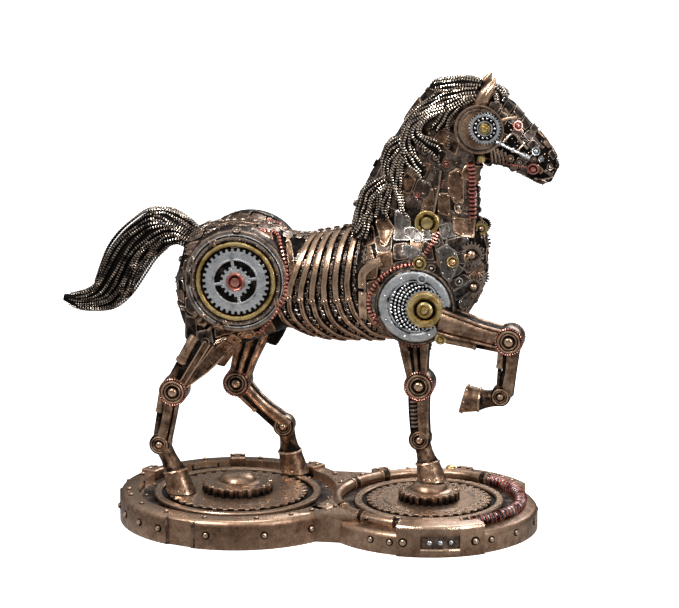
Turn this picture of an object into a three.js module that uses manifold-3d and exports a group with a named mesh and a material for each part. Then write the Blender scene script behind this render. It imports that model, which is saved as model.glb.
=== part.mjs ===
// A walking mechanical horse, cast in one piece, on a plinth of two joined gear discs.
// Millimetres. +X is the way the horse walks, +Y its left side, +Z up.
// The origin is under the middle of the plinth, on its flat underside.
import * as THREE from 'three';
import { mergeVertices } from 'three/addons/utils/BufferGeometryUtils.js';
import Module from 'manifold-3d';

const wasm = await Module();
wasm.setup();

// Driving dimensions of the horse
const HORSE_HEIGHT = 220; // from the hind hooves' ground to the tip of the ears
const CASTING_GAP = 0.3; // between a hoof and the plinth

// Driving dimensions of the plinth
const PLINTH_HEIGHT = 15;
const SHOULDER_DROP = 3.4; // from the plinth's top down to the front disc's outer edge
const SHOULDER_RISE = 1.2; // from that edge up to the pipe
const EDGE_ROUND = 1.4;
const REAR_DISC_RADIUS = 59.8;
const FRONT_DISC_RADIUS = 54.8;
const REAR_RIM_WIDTH = 9.5;
const FRONT_RIM_WIDTH = 8.5;
const WELL_DEPTH = 4;
const REAR_RING_RADIUS = 42.2;
const FRONT_RING_RADIUS = 37.5;
const RING_WIDTH = 3.8;
const RING_DROP = 1; // from the rim's top down to the ring and the large gear
const REAR_GEAR_RADIUS = 35.5;
const FRONT_GEAR_RADIUS = 31.4;
const GEAR_GROOVE_DEPTH = 1.8;
const LARGE_GEAR_TEETH = 30;
const LARGE_TOOTH_HEIGHT = 2.2;
const REAR_PINION_RADIUS = 18;
const FRONT_PINION_RADIUS = 15.5;
const PINION_HEIGHT = 4.6;
const PINION_TEETH = 16;
const PINION_TOOTH_HEIGHT = 1.8;
const DOME_RADIUS = 9.6;
const DOME_HEIGHT = 4.4;
const PIPE_RADIUS = 3.2; // the pipe and hose round the front well
const PIPE_SUNK = 1.1; // its middle under the plinth's top
const HOSE_RIDGES = 11;
const HOSE_HALF_ANGLE = 56; // degrees each side of +X
const HOSE_VALLEY = 0.78; // the hose between two ridges, as a share of its radius
const PLAIN_PIPE = 0.8; // the plain pipe, as a share of the hose's radius
const PIPE_BREAK = 0.02; // radians between the hose's end and the pipe's
const WAIST_WIDTH = 76;
const CLAMP_LENGTH = 8;
const CLAMP_RISE = 1.6;
const CLAMP_INSET = 1; // in from the disc's edge
const NOTCH_WIDTH = 13;
const NOTCH_DEPTH = 1.4;
const NOTCH_LIP = 1.5; // left over the notch
const PANEL_PROUD = 1; // the front panel past the front disc
const PANEL_WINDOW_WIDTH = 18;
const PANEL_WINDOW_HEIGHT = 6;
const PANEL_WINDOW_DEPTH = 1.2;
const OVERLAP = 1; // how far a joined solid runs into what carries it, or a cutter past a face

// The horse is drawn at a height of 220, and every number of its form is a share of that height
const DRAWN_HEIGHT = 220;
const HALF_SPACING = 49; // from the origin to the middle of each disc, set by the horse's stance
const u = HORSE_HEIGHT / DRAWN_HEIGHT;

// Levels and places that follow
const seatZ = PLINTH_HEIGHT - RING_DROP;
const pinionTop = seatZ + PINION_HEIGHT;
const domeTop = pinionTop + DOME_HEIGHT;
const groundZ = seatZ + CASTING_GAP;
const foreHoofZ = (domeTop - seatZ) / u;
const frontX = HALF_SPACING * u;
const rearX = -frontX;
const pipeCentreRadius = FRONT_DISC_RADIUS - FRONT_RIM_WIDTH;

const rad = THREE.MathUtils.degToRad;

// Solids

/** A closed geometry, moved by a matrix, as a solid that can be joined and cut. */
function solid(geometry, matrix = new THREE.Matrix4()) {
  const bare = new THREE.BufferGeometry();
  bare.setAttribute('position', geometry.getAttribute('position').clone());
  if (geometry.index) bare.setIndex(geometry.index.clone());
  bare.applyMatrix4(matrix);
  const merged = mergeVertices(bare, 1e-4);
  const index = merged.index.array;
  const triangles = [];
  for (let i = 0; i < index.length; i += 3) {
    const [a, b, c] = [index[i], index[i + 1], index[i + 2]];
    if (a !== b && b !== c && c !== a) triangles.push(a, b, c);
  }
  return new wasm.Manifold(
    new wasm.Mesh({
      numProp: 3,
      vertProperties: new Float32Array(merged.getAttribute('position').array),
      triVerts: new Uint32Array(triangles),
    }),
  );
}

const join = (solids) => wasm.Manifold.union(solids);

const placed = (x, y, z, turn = 0) =>
  new THREE.Matrix4().makeRotationZ(turn).setPosition(x, y, z);

/** A skin over sections of points, all of one count, closed by a fan at each end. */
function skin(sections) {
  const count = sections[0].length;
  const positions = sections.flat().flatMap((p) => [p.x, p.y, p.z]);
  const index = [];
  for (let i = 0; i + 1 < sections.length; i += 1) {
    for (let j = 0; j < count; j += 1) {
      const [a, b] = [i * count + j, i * count + ((j + 1) % count)];
      index.push(a, b, a + count, b, b + count, a + count);
    }
  }
  for (const [row, flip] of [[0, true], [sections.length - 1, false]]) {
    const middle = positions.length / 3;
    const centre = new THREE.Vector3();
    for (const p of sections[row]) centre.addScaledVector(p, 1 / count);
    positions.push(centre.x, centre.y, centre.z);
    for (let j = 0; j < count; j += 1) {
      const [a, b] = [row * count + j, row * count + ((j + 1) % count)];
      index.push(middle, flip ? b : a, flip ? a : b);
    }
  }
  const geometry = new THREE.BufferGeometry();
  geometry.setAttribute('position', new THREE.Float32BufferAttribute(positions, 3));
  geometry.setIndex(index);
  return solid(geometry);
}

/** Points of an oval about a centre, along a side and an up vector; flutes raise every second point. */
function oval(centre, side, up, count, flute = 0) {
  return Array.from({ length: count }, (_, j) => {
    const angle = (2 * Math.PI * j) / count;
    const reach = 1 + (j % 2 ? flute : -flute);
    return centre
      .clone()
      .addScaledVector(side, Math.cos(angle) * reach)
      .addScaledVector(up, Math.sin(angle) * reach);
  });
}

/** A bar along points in space. Each size is [half width across, half depth in the bar's own plane]. */
function bar(points, sizes, count = 6, flute = 0) {
  const across = new THREE.Vector3(0, 1, 0);
  const sections = points.map((point, i) => {
    const ahead = points[Math.min(i + 1, points.length - 1)]
      .clone()
      .sub(points[Math.max(i - 1, 0)])
      .normalize();
    const side = across.clone().addScaledVector(ahead, -across.dot(ahead)).normalize();
    const up = new THREE.Vector3().crossVectors(ahead, side);
    const [wide, deep] = sizes[i];
    return oval(point, side.multiplyScalar(wide * u), up.multiplyScalar(deep * u), count, flute);
  });
  return skin(sections);
}

/** A round drum along Y, from one radius to another. */
function drum(centre, length, radius, count = 16, farRadius = radius) {
  const geometry = new THREE.CylinderGeometry(farRadius * u, radius * u, length * u, count);
  return solid(geometry, new THREE.Matrix4().setPosition(centre));
}

// A tooth's corners: the place of each as a share of the pitch, and whether it is at the tip
const BLUNT_TOOTH = [[-0.3, false], [-0.18, true], [0.18, true], [0.3, false]];
const SHARP_TOOTH = [[-0.25, true], [0.25, false]];

/** The outline of a gear. */
function gearShape(radius, toothHeight, teeth, tooth = BLUNT_TOOTH) {
  const points = Array.from({ length: teeth }, (_, i) =>
    tooth.map(([offset, tip]) => {
      const angle = (2 * Math.PI * (i + offset)) / teeth;
      const reach = tip ? radius : radius - toothHeight;
      return new THREE.Vector2(reach * Math.cos(angle), reach * Math.sin(angle));
    }),
  );
  return new THREE.Shape(points.flat());
}

const upright = (shape, height, matrix) =>
  solid(new THREE.ExtrudeGeometry(shape, { depth: height, bevelEnabled: false }), matrix);

/** An upright round post. */
function post(x, y, bottom, top, radius, count = 32) {
  const geometry = new THREE.CylinderGeometry(radius, radius, top - bottom, count);
  geometry.rotateX(Math.PI / 2);
  return solid(geometry, placed(x, y, (top + bottom) / 2));
}

/** A turned body on an upright axis, from points of radius and height. */
function turned(x, profile, count) {
  const points = profile.map(([radius, z]) => new THREE.Vector2(radius, z));
  const geometry = new THREE.LatheGeometry(points, count);
  geometry.rotateX(Math.PI / 2);
  return solid(geometry, placed(x, 0, 0));
}

/** A box whose inner face is at a distance from a disc's centre, on a bearing in degrees. */
function blockOn(x, bearing, distance, length, width, bottom, top) {
  const geometry = new THREE.BoxGeometry(length, width, top - bottom);
  geometry.translate(distance + length / 2, 0, 0);
  return solid(geometry, placed(x, 0, (top + bottom) / 2, rad(bearing)));
}

/** The part of a ring between two radii and two bearings in degrees. */
function sector(x, inner, outer, from, to, bottom, top, steps = 5) {
  const arc = (radius, a, b) =>
    Array.from({ length: steps + 1 }, (_, i) => {
      const angle = rad(a + ((b - a) * i) / steps);
      return new THREE.Vector2(radius * Math.cos(angle), radius * Math.sin(angle));
    });
  const shape = new THREE.Shape([...arc(outer, from, to), ...arc(inner, to, from)]);
  return upright(shape, top - bottom, placed(x, 0, bottom));
}

// The horse's midline bends gently to its right as it goes forward
const STRAIGHT_FROM = 62;
const sway = (x) => 3.35 - 0.14 * Math.min(x, STRAIGHT_FROM);

/** A place in the horse: x forward, z up from the ground, w out to the right of the midline. */
const at = (x, z, w = 0) => new THREE.Vector3(x * u, (sway(x) - w) * u, groundZ + z * u);

// The trunk: x, top, bottom, half width
const TRUNK = [
  [-81.5, 109, 97, 6],
  [-78.5, 119, 86, 14],
  [-74.5, 129.5, 79.5, 18.5],
  [-68.5, 133.4, 76.5, 21],
  [-61, 135.4, 74.5, 23],
  [-53, 136.4, 74, 24],
  [-45, 137, 75.5, 24.5],
  [-37, 136.4, 79, 23.8],
  [-29.5, 135.2, 82, 22],
  [-22.8, 134, 83.5, 20.5],
  [-15, 133.6, 82, 20.5],
  [-7, 134.6, 80.4, 21.5],
  [3, 137, 79.8, 22],
  [13.5, 140, 80.6, 22],
  [23.8, 142.3, 82.4, 21.7],
  [34, 145.5, 84, 21.5],
  [44, 148.6, 83.5, 21.3],
  [54, 149.3, 84, 20],
  [62, 148.8, 88.5, 17.5],
  [69.5, 147, 99.5, 13.8],
  [74.5, 144, 108.5, 10],
  [77.6, 135.5, 120.5, 5],
];
const TRUNK_SIDES = 12;
const RIB_COUNT = 8;
const FIRST_RIB = -23.6;
const RIB_PITCH = 5.8;
const RIB_RELIEF = 1.3;
const RIB_SLANT = 6; // how far the rib's ends run ahead of its middle

/** The trunk's top, bottom and half width at x, straight between the drawn stations. */
function trunkAt(x) {
  const i = Math.max(1, TRUNK.findIndex((station) => station[0] >= x));
  const [a, b] = [TRUNK[i - 1], TRUNK[i]];
  const t = (x - a[0]) / (b[0] - a[0]);
  return a.map((value, k) => value + (b[k] - value) * t);
}

function trunkSection(x, sink, slanted) {
  const [, top, bottom, wide] = trunkAt(x);
  const middle = (top + bottom) / 2;
  return Array.from({ length: TRUNK_SIDES }, (_, j) => {
    const angle = (2 * Math.PI * j) / TRUNK_SIDES;
    const [c, s] = [Math.cos(angle), Math.sin(angle)];
    const fuller = 1 / (Math.abs(c) ** 2.5 + Math.abs(s) ** 2.5) ** (1 / 2.5);
    const w = -c * fuller * (wide - sink);
    const z = middle + s * fuller * ((top - bottom) / 2 - sink);
    return at(x + (slanted ? RIB_SLANT * s * s : 0), z, w);
  });
}

function trunk() {
  const sections = TRUNK.filter(([x]) => x < FIRST_RIB - RIB_PITCH * 0.4)
    .map(([x]) => trunkSection(x, 0, false));
  for (let i = 0; i < RIB_COUNT; i += 1) {
    const x = FIRST_RIB + i * RIB_PITCH;
    sections.push(trunkSection(x, 0, true));
    sections.push(trunkSection(x + RIB_PITCH / 2, RIB_RELIEF, true));
  }
  const end = FIRST_RIB + RIB_COUNT * RIB_PITCH + RIB_SLANT;
  TRUNK.filter(([x]) => x > end).forEach(([x]) => sections.push(trunkSection(x, 0, false)));
  return skin(sections);
}

/** Sections between a lower-front and an upper-back outline point, with a half width. */
function hull(stations, count) {
  return skin(
    stations.map(([x0, z0, x1, z1, wide]) => {
      const [low, high] = [at(x0, z0), at(x1, z1)];
      const up = high.clone().sub(low).multiplyScalar(0.5);
      const centre = low.add(up);
      return oval(centre, new THREE.Vector3(0, wide * u, 0), up, count);
    }),
  );
}

// The neck and the crest under the mane: throat x, z, crest x, z, half width
const NECK = [
  [73.5, 124, 18, 122, 13],
  [74.3, 140.5, 9, 138.5, 15],
  [73.8, 149, 11.5, 150, 14.5],
  [73.3, 156, 16, 160.5, 13],
  [73.2, 164, 23.6, 174, 11.6],
  [74.2, 171.7, 31.4, 186, 10.6],
  [76, 177, 38.8, 198.4, 9.8],
  [79, 180, 46.4, 208.2, 9.2],
  [82, 184, 59, 215.2, 8.6],
];
const NECK_SIDES = 12;

// The head: jaw x, z, brow x, z, half width
const HEAD = [
  [66, 184, 62, 207, 6.5],
  [71, 176.5, 70, 212, 9.5],
  [78, 174, 80, 211.5, 10.2],
  [84, 173.2, 90.3, 204.4, 9.8],
  [89.5, 171.5, 97.4, 197, 8.6],
  [95, 169.3, 103.3, 190.6, 7.2],
  [100.3, 166.6, 107.8, 184.7, 6.4],
  [104.5, 164.8, 111.4, 178.6, 6],
  [109.4, 165.6, 112.8, 172.8, 4.2],
];
const HEAD_SIDES = 10;
const CHEEK = { x: 75.5, z: 193.5, w: 9.8, radius: 12.2 };
const EYE = { x: 79.5, z: 194, radius: 7.6 };

function ear(side) {
  const points = [[73.6, 201, 5.6], [76, 207, 6.2], [78.4, 213, 6.4], [79.8, 219.6, 6]];
  const sizes = [[2, 2.8], [2.6, 3.4], [2, 2.9], [0.4, 0.4]];
  return bar(points.map(([x, z, w]) => at(x, z, w * side)), sizes, 6);
}

function head() {
  const sides = [1, -1].flatMap((side) => [
    ear(side),
    drum(at(CHEEK.x, CHEEK.z, side * CHEEK.w), 3, CHEEK.radius, 14),
    drum(at(EYE.x, EYE.z, side * (CHEEK.w + 1.6)), 3, EYE.radius, 12),
  ]);
  return join([hull(NECK, NECK_SIDES), hull(HEAD, HEAD_SIDES), ...sides]);
}

// Mane locks: points of x, z, w from root to tip, and the root's half thickness
const MANE = [
  [[[75, 212, 1], [62, 215, 3], [51, 211.5, 4], [44.5, 205, 5]], 3.8],
  [[[73.3, 210, 4], [60.5, 210, 7], [48, 203, 7.5], [38, 189.5, 7.5]], 4.4],
  [[[70.7, 206.5, 7], [58, 203.5, 8.7], [45.8, 194, 9.3], [37, 180, 9.5]], 4.2],
  [[[66, 203, 9], [54, 195.5, 10.3], [43, 184.5, 10.5], [38.4, 172, 10]], 4],
  [[[41, 194, 4], [32.5, 183, 6], [27, 174.5, 6.5], [26.5, 165, 7]], 4.2],
  [[[39.4, 185, 10.5], [46.5, 179.5, 11.4], [53.2, 169.5, 10.8]], 3.4],
  [[[38, 180, 7], [28.5, 170, 8.5], [19, 159.5, 8.5], [12.5, 146, 8.5]], 4.6],
  [[[36, 173, 10], [27, 161, 11.7], [17.4, 149.5, 12], [12, 135.5, 11]], 4.6],
  [[[37, 175, 10.5], [33.4, 161.6, 12.6], [25.5, 147.5, 15.4], [16.6, 135, 16.5]], 4.6],
  [[[39, 174, 11], [38.4, 160.8, 13], [33, 147, 16], [25.2, 134, 18]], 4.2],
  [[[40, 171, 11], [42.4, 158, 12.5], [39.8, 147, 15], [36.4, 137.5, 18]], 3.6],
  [[[77, 209.8, 0], [82.5, 208.2, 2.2], [86.6, 204.8, 3.7], [88.6, 201, 4.5]], 2.8],
  [[[66, 207, -6], [52, 201.5, -8], [42, 187, -9.5], [32, 164, -11]], 4.2],
  [[[40, 184, -9], [32, 167, -11.5], [20, 145, -15]], 4.4],
];
const LOCK_SIDES = 6;

function mane() {
  return join(
    MANE.map(([points, thick]) => {
      const last = points.length - 1;
      const sizes = points.map((_, i) => {
        const taper = 1 - 0.75 * (i / last) ** 2;
        return [thick * 0.75 * taper, thick * taper];
      });
      return bar(points.map((p) => at(...p)), sizes, LOCK_SIDES, 0.08);
    }),
  );
}

// The tail: x, z, w, half width, half depth
const TAIL = [
  [-67, 124, 0, 6, 6],
  [-74, 127.4, 0, 6.2, 6.4],
  [-81, 130.6, -1, 7, 8],
  [-87, 131.2, -2, 8, 9.8],
  [-93, 129.8, -2, 9, 11.2],
  [-98.6, 125.8, -2, 10, 11.4],
  [-104, 120.4, -1, 10.5, 11.8],
  [-108.6, 113.8, 0, 10.5, 12],
  [-112, 107.2, 1, 10, 11.4],
  [-115.2, 101, 2, 9, 10.4],
  [-119.4, 95.6, 2, 8, 8.8],
  [-126, 92.4, 3, 6, 6.4],
  [-134.4, 91.2, 4, 4, 4.6],
  [-142, 92.4, 5, 1.4, 2],
];
const TAIL_SIDES = 10;
const TAIL_FLUTE = 0.06;

function tail() {
  const points = TAIL.map(([x, z, w]) => at(x, z, w));
  return bar(points, TAIL.map((row) => row.slice(3)), TAIL_SIDES, TAIL_FLUTE);
}

// Gear discs on the haunches and shoulders. A face, a floor or a back is so far out of the midline
const HAUNCH = {
  x: -46.6,
  z: 111.9,
  back: 18.1,
  backRadius: 26,
  face: 25.1,
  faceRadius: 23.5,
  well: 17.6,
  wellFloor: 24.4,
  gear: 16.8,
  plainGear: 14.8,
  gearFace: 25.6,
  window: 10.5,
  windowFloor: 24.6,
  pinion: 7.4,
  hub: 4.8,
  hubFace: 27.1,
};
const SHOULDER = {
  x: 44.8,
  z: 105,
  back: 15.6,
  backRadius: 19.1,
  face: 23.6,
  faceRadius: 17.6,
  groove: 13.6,
  grooveFloor: 22.8,
  hubX: 51.2,
  hubZ: 107.8,
  ring: 9,
  ringFace: 25.6,
  dish: 5.8,
  dishFloor: 24.6,
  hub: 4,
  hubFace: 26.6,
};
const HAUNCH_TEETH = 20;
const HAUNCH_PINION_TEETH = 10;
const SIDE_TOOTH_HEIGHT = 1.5;
const LET_IN = 3.5; // how far a gear or a hub runs into the disc behind it
const CLEAR_OF_FACE = 2; // how far a cutter runs out past a face

/** A round slab on one side of the horse, from one distance out of its midline to another. */
function slab(x, z, side, from, to, radius, count, outerRadius = radius) {
  const centre = at(x, z, (side * (from + to)) / 2);
  const [right, left] = side > 0 ? [outerRadius, radius] : [radius, outerRadius];
  return drum(centre, to - from, right, count, left);
}

/** A gear on its side, let into the disc behind it: its face looks out to one side of the horse. */
function sideGear(x, z, side, face, radius, teeth) {
  const shape = gearShape(radius * u, SIDE_TOOTH_HEIGHT * u, teeth, SHARP_TOOTH);
  const turn = new THREE.Matrix4().makeRotationX((side * Math.PI) / 2);
  turn.setPosition(at(x, z, side * (face - LET_IN)));
  return upright(shape, LET_IN * u, turn);
}

/** The near side has toothed gears, and the far side plain steps of the same sizes. */
function haunchDisc(side) {
  const h = HAUNCH;
  const part = (from, to, radius, count) => slab(h.x, h.z, side, from, to, radius, count);
  const body = slab(h.x, h.z, side, h.back, h.face, h.backRadius, 20, h.faceRadius);
  const ringed = body.subtract(part(h.wellFloor, h.face + CLEAR_OF_FACE, h.well, 20));
  const knob = part(h.wellFloor - LET_IN, h.hubFace, h.hub, 8);
  if (side < 0) return join([ringed, part(h.gearFace - LET_IN, h.gearFace, h.plainGear, 16), knob]);
  const gear = sideGear(h.x, h.z, side, h.gearFace, h.gear, HAUNCH_TEETH);
  const window = part(h.windowFloor, h.face + CLEAR_OF_FACE, h.window, 12);
  const small = sideGear(h.x, h.z, side, h.gearFace, h.pinion, HAUNCH_PINION_TEETH);
  return join([join([ringed, gear]).subtract(window), small, knob]);
}

function shoulderDisc(side) {
  const s = SHOULDER;
  const atHub = (from, to, radius, count) => slab(s.hubX, s.hubZ, side, from, to, radius, count);
  const body = slab(s.x, s.z, side, s.back, s.face, s.backRadius, 20, s.faceRadius);
  const groove = slab(s.x, s.z, side, s.grooveFloor, s.face + CLEAR_OF_FACE, s.groove, 14);
  const collar = atHub(s.face - LET_IN, s.ringFace, s.ring, 14);
  const dish = atHub(s.dishFloor, s.ringFace + CLEAR_OF_FACE, s.dish, 10);
  const knob = atHub(s.face - LET_IN, s.hubFace, s.hub, 8);
  return join([body.subtract(groove), collar.subtract(dish), knob]);
}

// Legs

/** The round joint between two parts of a leg. */
const hinge = (x, z, w, radius, half) => drum(at(x, z, w), 2 * half, radius, 12);

/** A straight rod between two places, with half sizes at each end. */
const rod = (from, to, start, end) => bar([at(...from), at(...to)], [start, end], 4);

// Half width and half depth of the pastern's top, its narrowest place, the coronet and the sole
const FOOT_SIZES = [[4.2, 4.2], [4.6, 4.8], [5.4, 5.8], [6.6, 7.4]];
const FOOT_SIDES = 8;

/** Pastern and hoof, from the fetlock down to a flat sole that faces along a given way. */
function foot(fetlock, coronet, sole, soleAim) {
  const [top, crown, ground] = [fetlock, coronet, sole].map((place) => at(...place));
  const pastern = crown.clone().sub(top).normalize();
  const hoof = ground.clone().sub(top).normalize().add(soleAim).normalize();
  const centres = [top, top.clone().lerp(crown, 0.72), crown, ground];
  const aims = [pastern, pastern, hoof, soleAim];
  const sections = centres.map((centre, i) => {
    const side = new THREE.Vector3(0, 1, 0);
    side.addScaledVector(aims[i], -side.dot(aims[i])).normalize();
    const up = new THREE.Vector3().crossVectors(aims[i], side);
    const [wide, deep] = FOOT_SIZES[i];
    return oval(centre, side.multiplyScalar(wide * u), up.multiplyScalar(deep * u), FOOT_SIDES);
  });
  return skin(sections);
}

const DOWN = new THREE.Vector3(0, 0, -1);
const NEAR_HIND_HOOF = [-75.9, 0, 23.6];
const FAR_HIND_HOOF = [-25.5, 0, -28.6];
const FORE_HOOF = [50.6, foreHoofZ, -5];

function nearHindLeg() {
  return join([
    bar(
      [at(-61, 92, 14), at(-66, 76, 17), at(-72.6, 65, 17), at(-79.4, 53, 17)],
      [[7, 14], [6.5, 9.6], [5.6, 7.6], [4.6, 4.4]],
    ),
    bar([at(-52, 88, 8), at(-54.5, 76, 9), at(-58, 63.5, 9)], [[6, 9], [5, 7], [3.5, 2.5]]),
    hinge(-80.6, 51.6, 17, 7.2, 6.5),
    bar(
      [at(-81.5, 53, 17), at(-83, 40, 18.5), at(-86, 26, 20)],
      [[4.6, 4.8], [4.2, 4.2], [4.6, 4.4]],
    ),
    rod([-86.5, 49, 17.5], [-89.6, 28, 20], [2.4, 1.9], [2.4, 1.9]),
    hinge(-87.6, 24, 20, 5.4, 4.8),
    foot([-86.4, 22.5, 20.5], [-79.6, 10.6, 22.6], NEAR_HIND_HOOF, DOWN),
  ]);
}

function farHindLeg() {
  return join([
    bar(
      [at(-42, 86, -14), at(-46, 72, -17), at(-50.4, 60, -19), at(-53.5, 49, -20)],
      [[7, 10.5], [6.5, 8.2], [5.4, 6.8], [4.8, 6]],
    ),
    hinge(-54.2, 48.6, -20, 7, 6.5),
    bar(
      [at(-53, 48, -20), at(-43, 36.5, -22.5), at(-33, 28, -24.5), at(-29, 25, -25)],
      [[4.8, 4.6], [4.4, 4.4], [4.6, 5], [4.6, 5]],
    ),
    rod([-54, 42, -20.5], [-35, 23.5, -24.5], [2.4, 1.7], [2.4, 1.7]),
    hinge(-30.4, 25.8, -25, 5.4, 4.8),
    foot([-29.6, 23.5, -25.5], [-28, 11.5, -27.5], FAR_HIND_HOOF, DOWN),
  ]);
}

function farForeLeg() {
  return join([
    bar(
      [at(39.6, 86, -12), at(40, 76, -12), at(41.2, 65, -11), at(42.6, 57, -10)],
      [[6.5, 9.6], [6.2, 8.4], [5.4, 6.6], [5, 6]],
    ),
    hinge(43.2, 57.2, -10, 7.6, 6.5),
    bar(
      [at(42.8, 56, -10), at(43, 42, -9), at(44, 30, -8)],
      [[4.8, 6.2], [4.4, 5.8], [4.6, 5.4]],
    ),
    hinge(43.8, 29.4, -8, 5.6, 4.8),
    foot([44.6, 27, -8], [47.8, 12 + foreHoofZ * 0.6, -6.4], FORE_HOOF, DOWN),
  ]);
}

function nearForeLeg() {
  const soleAim = new THREE.Vector3(-0.965, 0, 0.26);
  return join([
    bar(
      [at(50, 102.4, 18), at(63, 99.2, 19), at(78, 93.6, 18), at(91, 89.6, 17)],
      [[6.6, 8.5], [6.4, 7.4], [5.8, 5.6], [5.4, 5.4]],
    ),
    rod([56, 90, 19], [88, 84, 18], [3, 3], [2.8, 2.8]),
    drum(at(58.5, 89.8, 20), 6.4, 3.2, 10),
    hinge(91.8, 89.6, 17, 7, 6.8),
    bar(
      [at(93, 87, 17), at(91.8, 74, 17.5), at(89.8, 62, 18)],
      [[4.8, 4.6], [4.3, 4], [4.6, 4.6]],
    ),
    rod([87.4, 85, 17.5], [86, 64, 18], [2.6, 2.4], [1.8, 1.6]),
    hinge(87.8, 61.4, 18, 5, 4.8),
    foot([87, 60, 18], [77, 58.4, 18], [68.6, 58.6, 18], soleAim),
  ]);
}

// The horse, one casting

function horse() {
  return join([
    trunk(),
    head(),
    mane(),
    tail(),
    ...[1, -1].flatMap((side) => [haunchDisc(side), shoulderDisc(side)]),
    nearHindLeg(),
    farHindLeg(),
    farForeLeg(),
    nearForeLeg(),
  ]);
}

// The plinth

/** A low dome with a flat top. */
const dome = (x) =>
  turned(
    x,
    [
      [0, pinionTop - OVERLAP],
      [DOME_RADIUS, pinionTop - OVERLAP],
      [DOME_RADIUS, pinionTop + DOME_HEIGHT * 0.2],
      [DOME_RADIUS * 0.86, pinionTop + DOME_HEIGHT * 0.75],
      [DOME_RADIUS * 0.66, domeTop],
      [0, domeTop],
    ],
    12,
  );

/** A ring, a groove and a large gear in a well, with a pinion and a dome at its middle. */
function turntable(x, ringRadius, gearRadius, pinionRadius) {
  const wellFloor = PLINTH_HEIGHT - WELL_DEPTH;
  const plate = post(x, 0, wellFloor - OVERLAP, seatZ, ringRadius);
  const groove = post(x, 0, seatZ - GEAR_GROOVE_DEPTH, pinionTop, ringRadius - RING_WIDTH);
  const large = upright(
    gearShape(gearRadius, LARGE_TOOTH_HEIGHT, LARGE_GEAR_TEETH, SHARP_TOOTH),
    WELL_DEPTH - RING_DROP,
    placed(x, 0, wellFloor),
  );
  const pinion = upright(
    gearShape(pinionRadius, PINION_TOOTH_HEIGHT, PINION_TEETH),
    PINION_HEIGHT + OVERLAP,
    placed(x, 0, seatZ - OVERLAP),
  );
  return join([plate.subtract(groove), large, pinion, dome(x)]);
}

/** The ridged hose round the front of the well, and the plain pipe round its back. */
function pipeRing() {
  const onRing = (angle) =>
    new THREE.Vector3(
      frontX + pipeCentreRadius * Math.cos(angle),
      pipeCentreRadius * Math.sin(angle),
      PLINTH_HEIGHT - PIPE_SUNK,
    );
  const sections = (from, to, steps, radius) =>
    skin(
      Array.from({ length: steps + 1 }, (_, i) => {
        const angle = from + ((to - from) * i) / steps;
        const out = new THREE.Vector3(Math.cos(angle), Math.sin(angle), 0);
        const reach = radius(i);
        const up = new THREE.Vector3(0, 0, reach);
        return oval(onRing(angle), out.multiplyScalar(-reach), up, 6);
      }),
    );
  const half = rad(HOSE_HALF_ANGLE);
  return join([
    sections(-half, half, HOSE_RIDGES * 2, (i) => PIPE_RADIUS * (i % 2 ? 1 : HOSE_VALLEY)),
    sections(half + PIPE_BREAK, 2 * Math.PI - half - PIPE_BREAK, 18, () => PIPE_RADIUS * PLAIN_PIPE),
  ]);
}

const REAR_CLAMPS = [153.7, 100.4, 54.1];
const FRONT_CLAMPS = [126.9, 76.9];
const REAR_NOTCHES = [-109, -180, 120];
const FRONT_NOTCHES = [100];
const BACK_PLATE_FROM = 34;
const BACK_PLATE_TO = 78;
const PANEL_FROM = -99;
const PANEL_TO = -53;

function frontPanel() {
  const outer = FRONT_DISC_RADIUS + PANEL_PROUD;
  const inner = FRONT_RING_RADIUS + 3;
  const plate = sector(frontX, inner, outer, PANEL_FROM, PANEL_TO, 0, PLINTH_HEIGHT + PANEL_PROUD);
  const window = blockOn(
    frontX,
    (PANEL_FROM + PANEL_TO) / 2,
    outer - PANEL_WINDOW_DEPTH,
    PANEL_WINDOW_DEPTH + PANEL_PROUD,
    PANEL_WINDOW_WIDTH,
    (PLINTH_HEIGHT - PANEL_WINDOW_HEIGHT) / 2,
    (PLINTH_HEIGHT + PANEL_WINDOW_HEIGHT) / 2,
  );
  return plate.subtract(window);
}

// Where the hooves stand: a flat pad under each, and the air that each needs above it
const HOOF_PAD_RADIUS = 6.2;
const HOOF_AIR_RADIUS = 8.2;
const SEATS = [
  { place: NEAR_HIND_HOOF, z: seatZ },
  { place: FAR_HIND_HOOF, z: seatZ },
  { place: FORE_HOOF, z: domeTop },
];

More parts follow.
